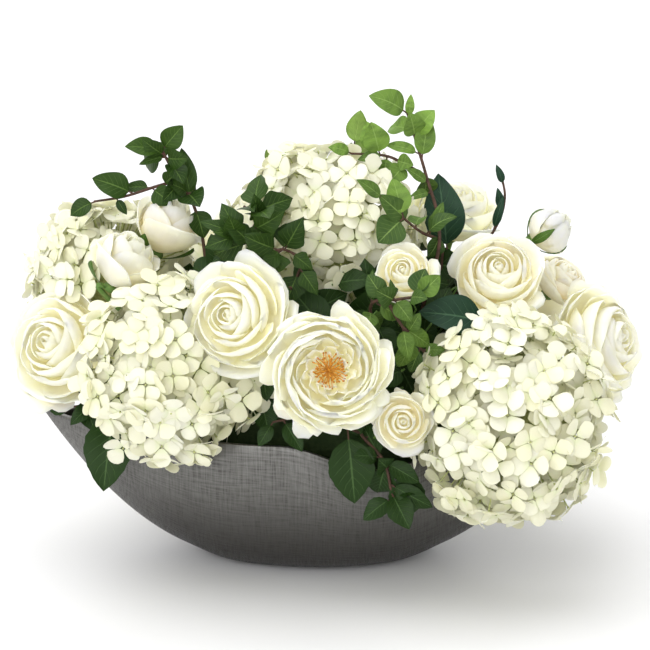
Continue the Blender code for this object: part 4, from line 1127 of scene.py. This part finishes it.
def floret_petal(length, turn, cup, curl):
    """The surface of one rounded floret petal that lies at the angle turn."""

    def surface(u, v):
        b = 2 * v - 1
        reach = length * (0.55 + 0.45 * b * math.sqrt(1 - u * u / 2))
        half = length * 0.51 * u * math.sqrt(1 - b * b / 2) * (1 - 0.40 * ease(0.4, -1, b))
        share = reach / length
        lift = cup * share ** 1.5 + 0.05 * u * share
        height = length * (lift - curl * share * share * (0.4 + 2 * (half / length) ** 2))
        flat = Matrix.Rotation(turn, 3, "Z") @ Vector((reach, half, 0))
        return Vector((flat.x, flat.y, height))

    return surface


def add_head(bm, name, settings, turn):
    """A rounded head: florets on thin stalks that stand out of a tangle of small branches."""
    centre, radius, facing = HYDRANGEAS[name]
    radius *= MM
    stand = aim(facing, Vector(centre) * MM, turn)
    chance = random.Random(name)
    place = bm.verts.layers.float_vector["blade"]
    patterns = []
    for _ in range(FLORET_PATTERNS):
        start = len(bm.verts)
        for k in range(4):
            petal = floret_petal(settings.floret_radius * chance.uniform(0.92, 1.06),
                                 k * math.pi / 2 + chance.uniform(-0.12, 0.12),
                                 chance.uniform(-0.05, 0.45), chance.uniform(-0.06, 0.24))
            add_blade(bm, petal, 4, 3, 0.0004)
        add_ball(bm, Matrix.Diagonal((0.0011, 0.0011, 0.0013, 1)), material=1)
        bm.verts.ensure_lookup_table()
        verts = bm.verts[start:]
        patterns.append(list({face for vert in verts for face in vert.link_faces}))
    for vert in add_ball(bm, stand @ Matrix.Scale(radius * HEAD_TANGLE, 4), subdivisions=3, material=1):
        vert.co += (vert.co - Vector(centre) * MM) * 0.10 * noise.noise(vert.co * 120)
    rods = rods_around(name)
    count = round(settings.florets * (radius / 0.079) ** 2)
    for i in range(count):
        rise = 1 - (1 - math.cos(math.pi * HEAD_COVER)) * (i + 0.5) / count
        around = GOLDEN_ANGLE * i
        level = math.sqrt(1 - rise * rise)
        outward = Vector((level * math.cos(around), level * math.sin(around), rise))
        outward = (outward + Vector([chance.uniform(-0.09, 0.09) for _ in range(3)])).normalized()
        reach = radius * chance.choice(HEAD_STEPS) * chance.uniform(0.97, 1.03)
        tip = stand.to_3x3() @ (outward * reach)
        wide, deep, high, hang = HEAD_SPREADS.get(name, (1, 1, 1, 1))
        tall = high if tip.z > 0 else hang
        tip = Vector(centre) * MM + Vector((tip.x * wide, tip.y * deep, tip.z * tall))
        lean = Vector([chance.uniform(-0.52, 0.52) for _ in range(3)])
        spin, pattern, tone = chance.uniform(0, math.pi), chance.randrange(FLORET_PATTERNS), chance.random()
        if near_bowl(tip, RIM_CLEARANCE) or any(distance_to(tip, *rod) < FLORET_CLEARANCE for rod in rods):
            continue
        way = stand.to_3x3() @ (outward + lean)
        made = bmesh.ops.duplicate(bm, geom=patterns[pattern])["geom"]
        verts = [item for item in made if isinstance(item, bmesh.types.BMVert)]
        bmesh.ops.transform(bm, matrix=aim(way, tip, spin) @ Matrix.Scale(chance.uniform(0.84, 1.06), 4),
                            verts=verts)
        for vert in verts:
            vert[place] = (vert[place][0], vert[place][1], tone)
        root = stand @ (outward * radius * 0.5)
        add_tube(bm, [root, root.lerp(tip, 0.98)], lambda share: 0.0007, sides=3, material=1)
    bmesh.ops.delete(bm, geom=list({vert for faces in patterns for face in faces for vert in face.verts}),
                     context="VERTS")


class CENTREPIECE_OT_hydrangeas(bpy.types.Operator):
    """Build every hydrangea head from four-petalled florets"""

    bl_idname = "centrepiece.hydrangeas"
    bl_label = "Hydrangeas"

    def execute(self, context):
        settings = context.scene.centrepiece_hydrangeas
        cloth = hydrangea_cloth(settings)
        stalks = grown("hydrangea_stalks", settings.stalk, (0.55, 0.58, 0.26), 300, 0.6, 0.0004)
        for turn, name in enumerate(HYDRANGEAS):
            bm = new_shape()
            add_head(bm, name, settings, turn * 0.9)
            finish_piece(name + "_florets", bm, [cloth, stalks], "hydrangea_petals", name)
        return {"FINISHED"}


# --- Stems and leaves

def add_sepals(bm, name):
    """The narrow green leaves that grow from the top of a stem round the bloom, if it has any."""
    if name not in SEPALS:
        return
    count, turn, distances, heights = SEPALS[name]
    centre, radius, facing, _ = ROSES[name]
    stand = aim(facing, Vector(centre) * MM) @ Matrix.Scale(radius * MM, 4)
    for i in range(count):
        middle = turn + i * SEPAL_SPACING

        def surface(u, v):
            half = SEPAL_HALF_WIDTH * math.sin(math.pi * min(1, 0.25 + 0.75 * v)) ** 0.8 + 1
            angle = math.radians(middle + u * half)
            distance = through(distances, v) + 0.03
            return stand @ Vector((distance * math.cos(angle), distance * math.sin(angle),
                                   through(heights, v)))

        add_blade(bm, surface, 4, 8, 0.0008, material=1)


class CENTREPIECE_OT_stems(bpy.types.Operator):
    """Build the stem of every bloom, with the green cup and the sepals under it"""

    bl_idname = "centrepiece.stems"
    bl_label = "Bloom Stems"

    def execute(self, context):
        settings = context.scene.centrepiece_leaves
        stem = grown("bloom_stem", settings.stem, (0.16, 0.24, 0.07), 120, 0.5, 0.0005)
        sepal = leaf_cloth("sepal_cloth", (0.09, 0.18, 0.035), settings.leaf, (0.22, 0.32, 0.11))
        for name in [*ROSES, *HYDRANGEAS]:
            bm = new_shape()
            add_tube(bm, smooth_path(stem_points(name), 8), lambda share: STEM_RADIUS, sides=10)
            foot, facing = bloom_foot(name)
            add_ball(bm, aim(facing, foot - facing * 0.001) @ Matrix.Diagonal((0.0062, 0.0062, 0.0045, 1)), 3)
            add_sepals(bm, name)
            finish_piece(name + "_stalk", bm, [stem, sepal], "stems", name + "_stem")
        return {"FINISHED"}


def leaf_outline(kind, t):
    """The half width at t, from 0 at the blade's base to 1 at its tip, as a share of the widest."""
    if kind == "ivy":
        return interpolate((0.10, 0.80, 1.00, 0.74, 0.62, 0.30, 0), t)
    teeth = 1 - 0.05 * (round(t * 14) % 2) if kind == "rose" else 1
    return math.sin(math.pi * t ** (0.72 if kind == "sprig" else 0.78)) ** 0.8 * teeth


def add_leaf(bm, base, tip, width, roll, kind, chance, cells=(6, 13)):
    """A leaf on its own short stalk, folded along its midrib, arched, and rolled about its length."""
    along = tip - base
    outlook = Vector((0, -1 if base.y < BACK_FROM else 1, 0.45))
    across = Matrix.Rotation(roll, 3, along.normalized()) @ along.cross(outlook).normalized()
    face = across.cross(along).normalized()
    arch, fold = chance.uniform(0.05, 0.14), chance.uniform(0.12, 0.34)
    wave, phase = chance.uniform(0.01, 0.035), chance.uniform(0, 6)
    stalk = 0.06 if kind == "broad" else 0.13

    def middle(share):
        return base + along * share + face * along.length * arch * math.sin(math.pi * share)

    def surface(u, v):
        share = stalk + (1 - stalk) * v
        half = width / 2 * leaf_outline(kind, v)
        ripple = wave * along.length * math.sin(v * 9 + phase + (2 if u > 0 else 0)) * u * u
        return middle(share) + across * half * u + face * (fold * half * abs(u) + ripple)

    # painted shade: leaves low among the blooms get a darker tone and those higher up a lighter one; the rest
    # of the tone differs at random
    tone = 0.15 + 0.50 * chance.random() + 0.35 * ease(0.30, 0.40, tip.z)
    add_blade(bm, surface, *cells, 0.0007, tone=tone, under=1.0)
    path = [middle(share) for share in (0, stalk * 0.5, stalk + 0.02)]
    add_tube(bm, path, lambda share: 0.0009 - 0.0003 * share, sides=5, material=1)


def in_bloom(points, share):
    """Whether any of the points is inside a bloom's ball, of that share of its radius."""
    return any((point - Vector(centre) * MM).length < radius * MM * share
               for centre, radius, *_ in {**ROSES, **HYDRANGEAS}.values() for point in points)


def extra_leaves(name, stems, chance):
    """(root, tip) of small leaves that fill the spray out between its listed leaves."""
    if name not in EXTRA_LEAVES:
        return []
    count, size, centre, radius = EXTRA_LEAVES[name]
    centre = Vector(centre) * MM
    spots = [point for stem in stems for point in smooth_path([Vector(place) * MM for place in stem], 12)
             if (point - centre).length < radius * MM]
    made = []
    for _ in range(count * 6):
        root = chance.choice(spots)
        way = (Vector([chance.uniform(-1, 1) for _ in range(3)]) + (root - centre) * 8).normalized()
        tip = root + way * size * MM * chance.uniform(0.75, 1.15)
        if len(made) < count and not in_bloom((tip, root.lerp(tip, 0.6)), 0.95) and inside_box(tip):
            made.append((root, tip))
    return made


def inside_box(point):
    """Whether the point is well inside the whole centrepiece's box."""
    low, high = CAD_BOX
    return point.z > LEAF_LOWEST and all(
        low[k] + BOX_MARGIN < point[k] < high[k] - BOX_MARGIN for k in range(3))


class CENTREPIECE_OT_sprays(bpy.types.Operator):
    """Build the leafy sprays on their woody twigs"""

    bl_idname = "centrepiece.sprays"
    bl_label = "Sprays"

    def execute(self, context):
        settings = context.scene.centrepiece_leaves
        twig = grown("twig_bark", settings.twig, (0.05, 0.03, 0.02), 220, 0.6, 0.0006)
        cloths = {
            "young": leaf_cloth("young_leaf_cloth", settings.bright, settings.deep, (0.30, 0.44, 0.12)),
            "green": leaf_cloth("leaf_cloth", settings.leaf, settings.shade, (0.16, 0.27, 0.06)),
            "deep": leaf_cloth("deep_leaf_cloth", settings.deep, settings.shade, (0.10, 0.18, 0.06)),
            "sage": leaf_cloth("sage_leaf_cloth", settings.sage, (0.012, 0.036, 0.022), (0.10, 0.20, 0.11)),
        }
        for name, (outline, cloth, stems, leaves) in SPRAYS.items():
            chance = random.Random(name)
            bm = new_shape()
            for i, stem in enumerate(stems):
                points = [Vector(point) * MM for point in stem]
                if i == 0:
                    points.insert(0, points[0] + (points[0] - points[1]).normalized() * STEM_SUNK)
                thick = 0.0018 if i == 0 else 0.0015
                add_tube(bm, smooth_path(points, 6), lambda share: thick * (1 - 0.35 * share), sides=7,
                         material=1)
            for root, tip, width, roll in leaves:
                add_leaf(bm, Vector(root) * MM, Vector(tip) * MM, width * MM, math.radians(roll), outline,
                         chance)
            for root, tip in extra_leaves(name, stems, chance):
                add_leaf(bm, root, tip, (tip - root).length * chance.uniform(0.58, 0.78),
                         chance.uniform(-0.6, 0.6), outline, chance)
            slot = "leaves_blue_green" if cloth == "sage" else "leaves"
            finish_piece(name + "_foliage", bm, [cloths[cloth], twig], slot, name)
        return {"FINISHED"}


class CENTREPIECE_OT_filling(bpy.types.Operator):
    """Fill the gaps between the blooms with dark leaves that grow out of the moss"""

    bl_idname = "centrepiece.filling"
    bl_label = "Filling Leaves"

    def execute(self, context):
        chance = random.Random(23)
        wide, deep, high = FILLING_SIZE
        bm = new_shape()
        for i in range(FILLING_LEAVES):
            rise = 1 - 1.02 * (i + 0.5) / FILLING_LEAVES
            around = GOLDEN_ANGLE * i
            level = math.sqrt(1 - rise * rise)
            way = Vector((wide * level * math.cos(around), deep * level * math.sin(around), high * rise))
            middle = FILLING_CENTRE + way * chance.uniform(0.60, 0.98)
            outward = Vector((way.x / wide ** 2, way.y / deep ** 2, way.z / high ** 2)).normalized()
            lean = Vector([chance.uniform(-1, 1) for _ in range(3)])
            along = (lean - outward * lean.dot(outward) + outward * 0.25).normalized()
            size = chance.uniform(0.030, 0.052)
            base, tip = middle - along * size / 2, middle + along * size / 2
            if tip.z < FILLING_LOWEST or in_bloom((base, middle, tip), 0.90) or any(
                    near_bowl(end, BOWL_WALL) for end in (tip, base)):
                continue
            add_leaf(bm, base, tip, size * 0.62, chance.uniform(-0.5, 0.5), "rose", chance, (4, 7))
            entry = Vector((base.x * 0.55, base.y * 0.42, FOAM_TOP - 0.004))
            bend = entry.lerp(base, 0.6) + outward * -0.01
            add_tube(bm, smooth_path([entry, bend, base], 4), lambda share: 0.0009, sides=5, material=1)
        cloths = [bpy.data.materials[name] for name in ("deep_leaf_cloth", "bloom_stem")]
        finish_piece("filling_leaves", bm, cloths, "leaves")
        return {"FINISHED"}


# --- Stage

def add_soft_light(name, way, strength):
    """An even, wide light that comes from way."""
    data = bpy.data.lights.new(name, "SUN")
    data.energy = strength
    data.angle = math.radians(55)
    light = bpy.data.objects.new(name, data)
    light.rotation_mode = "QUATERNION"
    light.rotation_quaternion = Vector(way).to_track_quat("Z", "Y")
    bpy.context.scene.collection.objects.link(light)


class CENTREPIECE_OT_stage(bpy.types.Operator):
    """Lay the pale floor and set the soft light and the camera"""

    bl_idname = "centrepiece.stage"
    bl_label = "Stage"

    def execute(self, context):
        settings = context.scene.centrepiece_stage
        made, _ = new_material("pale_floor", Base_Color=(*settings.floor, 1), Roughness=0.6,
                               Specular_IOR_Level=0.25)
        bm = bmesh.new()
        bmesh.ops.create_circle(bm, cap_ends=True, segments=96, radius=14)
        mesh = bpy.data.meshes.new("floor")
        bm.to_mesh(mesh)
        bm.free()
        mesh.materials.append(made)
        floor = bpy.data.objects.new("floor", mesh)
        context.scene.collection.objects.link(floor)
        floor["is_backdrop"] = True

        world = bpy.data.worlds.new("studio")
        world.use_nodes = True
        sky = world.node_tree.nodes["Background"]
        sky.inputs["Color"].default_value = (1, 1, 1, 1)
        sky.inputs["Strength"].default_value = settings.sky
        context.scene.world = world
        add_soft_light("soft_light", (-0.25, -0.05, 1.0), settings.key)
        add_soft_light("front_fill", (-0.34, -1.0, 0.28), settings.fill)
        add_soft_light("back_fill", (0.30, 1.0, 0.35), settings.fill * 0.4)

        camera_data = bpy.data.cameras.new("camera")
        camera_data.lens = 128.8
        camera = bpy.data.objects.new("camera", camera_data)
        lift = settings.camera_elevation
        back = Vector((0, -math.cos(lift), math.sin(lift)))
        camera.location = AIM + back * settings.camera_distance
        camera.rotation_mode = "QUATERNION"
        camera.rotation_quaternion = back.to_track_quat("Z", "Y")
        context.scene.collection.objects.link(camera)
        context.scene.camera = camera
        context.scene.view_settings.view_transform = "Standard"
        return {"FINISHED"}


# --- Panel and registration

SETTINGS = {"centrepiece_bowl": BowlSettings, "centrepiece_roses": RoseSettings,
            "centrepiece_hydrangeas": HydrangeaSettings, "centrepiece_leaves": LeafSettings,
            "centrepiece_stage": StageSettings}
OPERATORS = (CENTREPIECE_OT_bowl, CENTREPIECE_OT_foam, CENTREPIECE_OT_roses, CENTREPIECE_OT_stamens,
             CENTREPIECE_OT_hydrangeas, CENTREPIECE_OT_stems, CENTREPIECE_OT_sprays,
             CENTREPIECE_OT_filling, CENTREPIECE_OT_stage)


class CENTREPIECE_PT_panel(bpy.types.Panel):
    """Sizes, colours and building steps of the centrepiece"""

    bl_label = "Centrepiece"
    bl_idname = "CENTREPIECE_PT_panel"
    bl_space_type = "VIEW_3D"
    bl_region_type = "UI"
    bl_category = "Centrepiece"

    def draw(self, context):
        for key, settings in SETTINGS.items():
            box = self.layout.box()
            box.label(text=settings.__name__.replace("Settings", ""))
            for field in settings.__annotations__:
                box.prop(getattr(context.scene, key), field)
        for operator in OPERATORS:
            self.layout.operator(operator.bl_idname)


def register():
    for group in (*SETTINGS.values(), *OPERATORS, CENTREPIECE_PT_panel):
        bpy.utils.register_class(group)
    for key, settings in SETTINGS.items():
        setattr(bpy.types.Scene, key, bpy.props.PointerProperty(type=settings))


def unregister():
    for key in SETTINGS:
        delattr(bpy.types.Scene, key)
    for group in (CENTREPIECE_PT_panel, *OPERATORS, *SETTINGS.values()):
        bpy.utils.unregister_class(group)


def main():
    register()
    bpy.ops.centrepiece.bowl()
    bpy.ops.centrepiece.foam()
    bpy.ops.centrepiece.roses()
    bpy.ops.centrepiece.stamens()
    bpy.ops.centrepiece.hydrangeas()
    bpy.ops.centrepiece.stems()
    bpy.ops.centrepiece.sprays()
    bpy.ops.centrepiece.filling()
    bpy.ops.centrepiece.stage()
    boxes = {"cad": CAD_BOX, "visual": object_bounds()}
    {key: [list(corner) for corner in box] for key, box in boxes.items()}


if __name__ == "__main__":
    main()
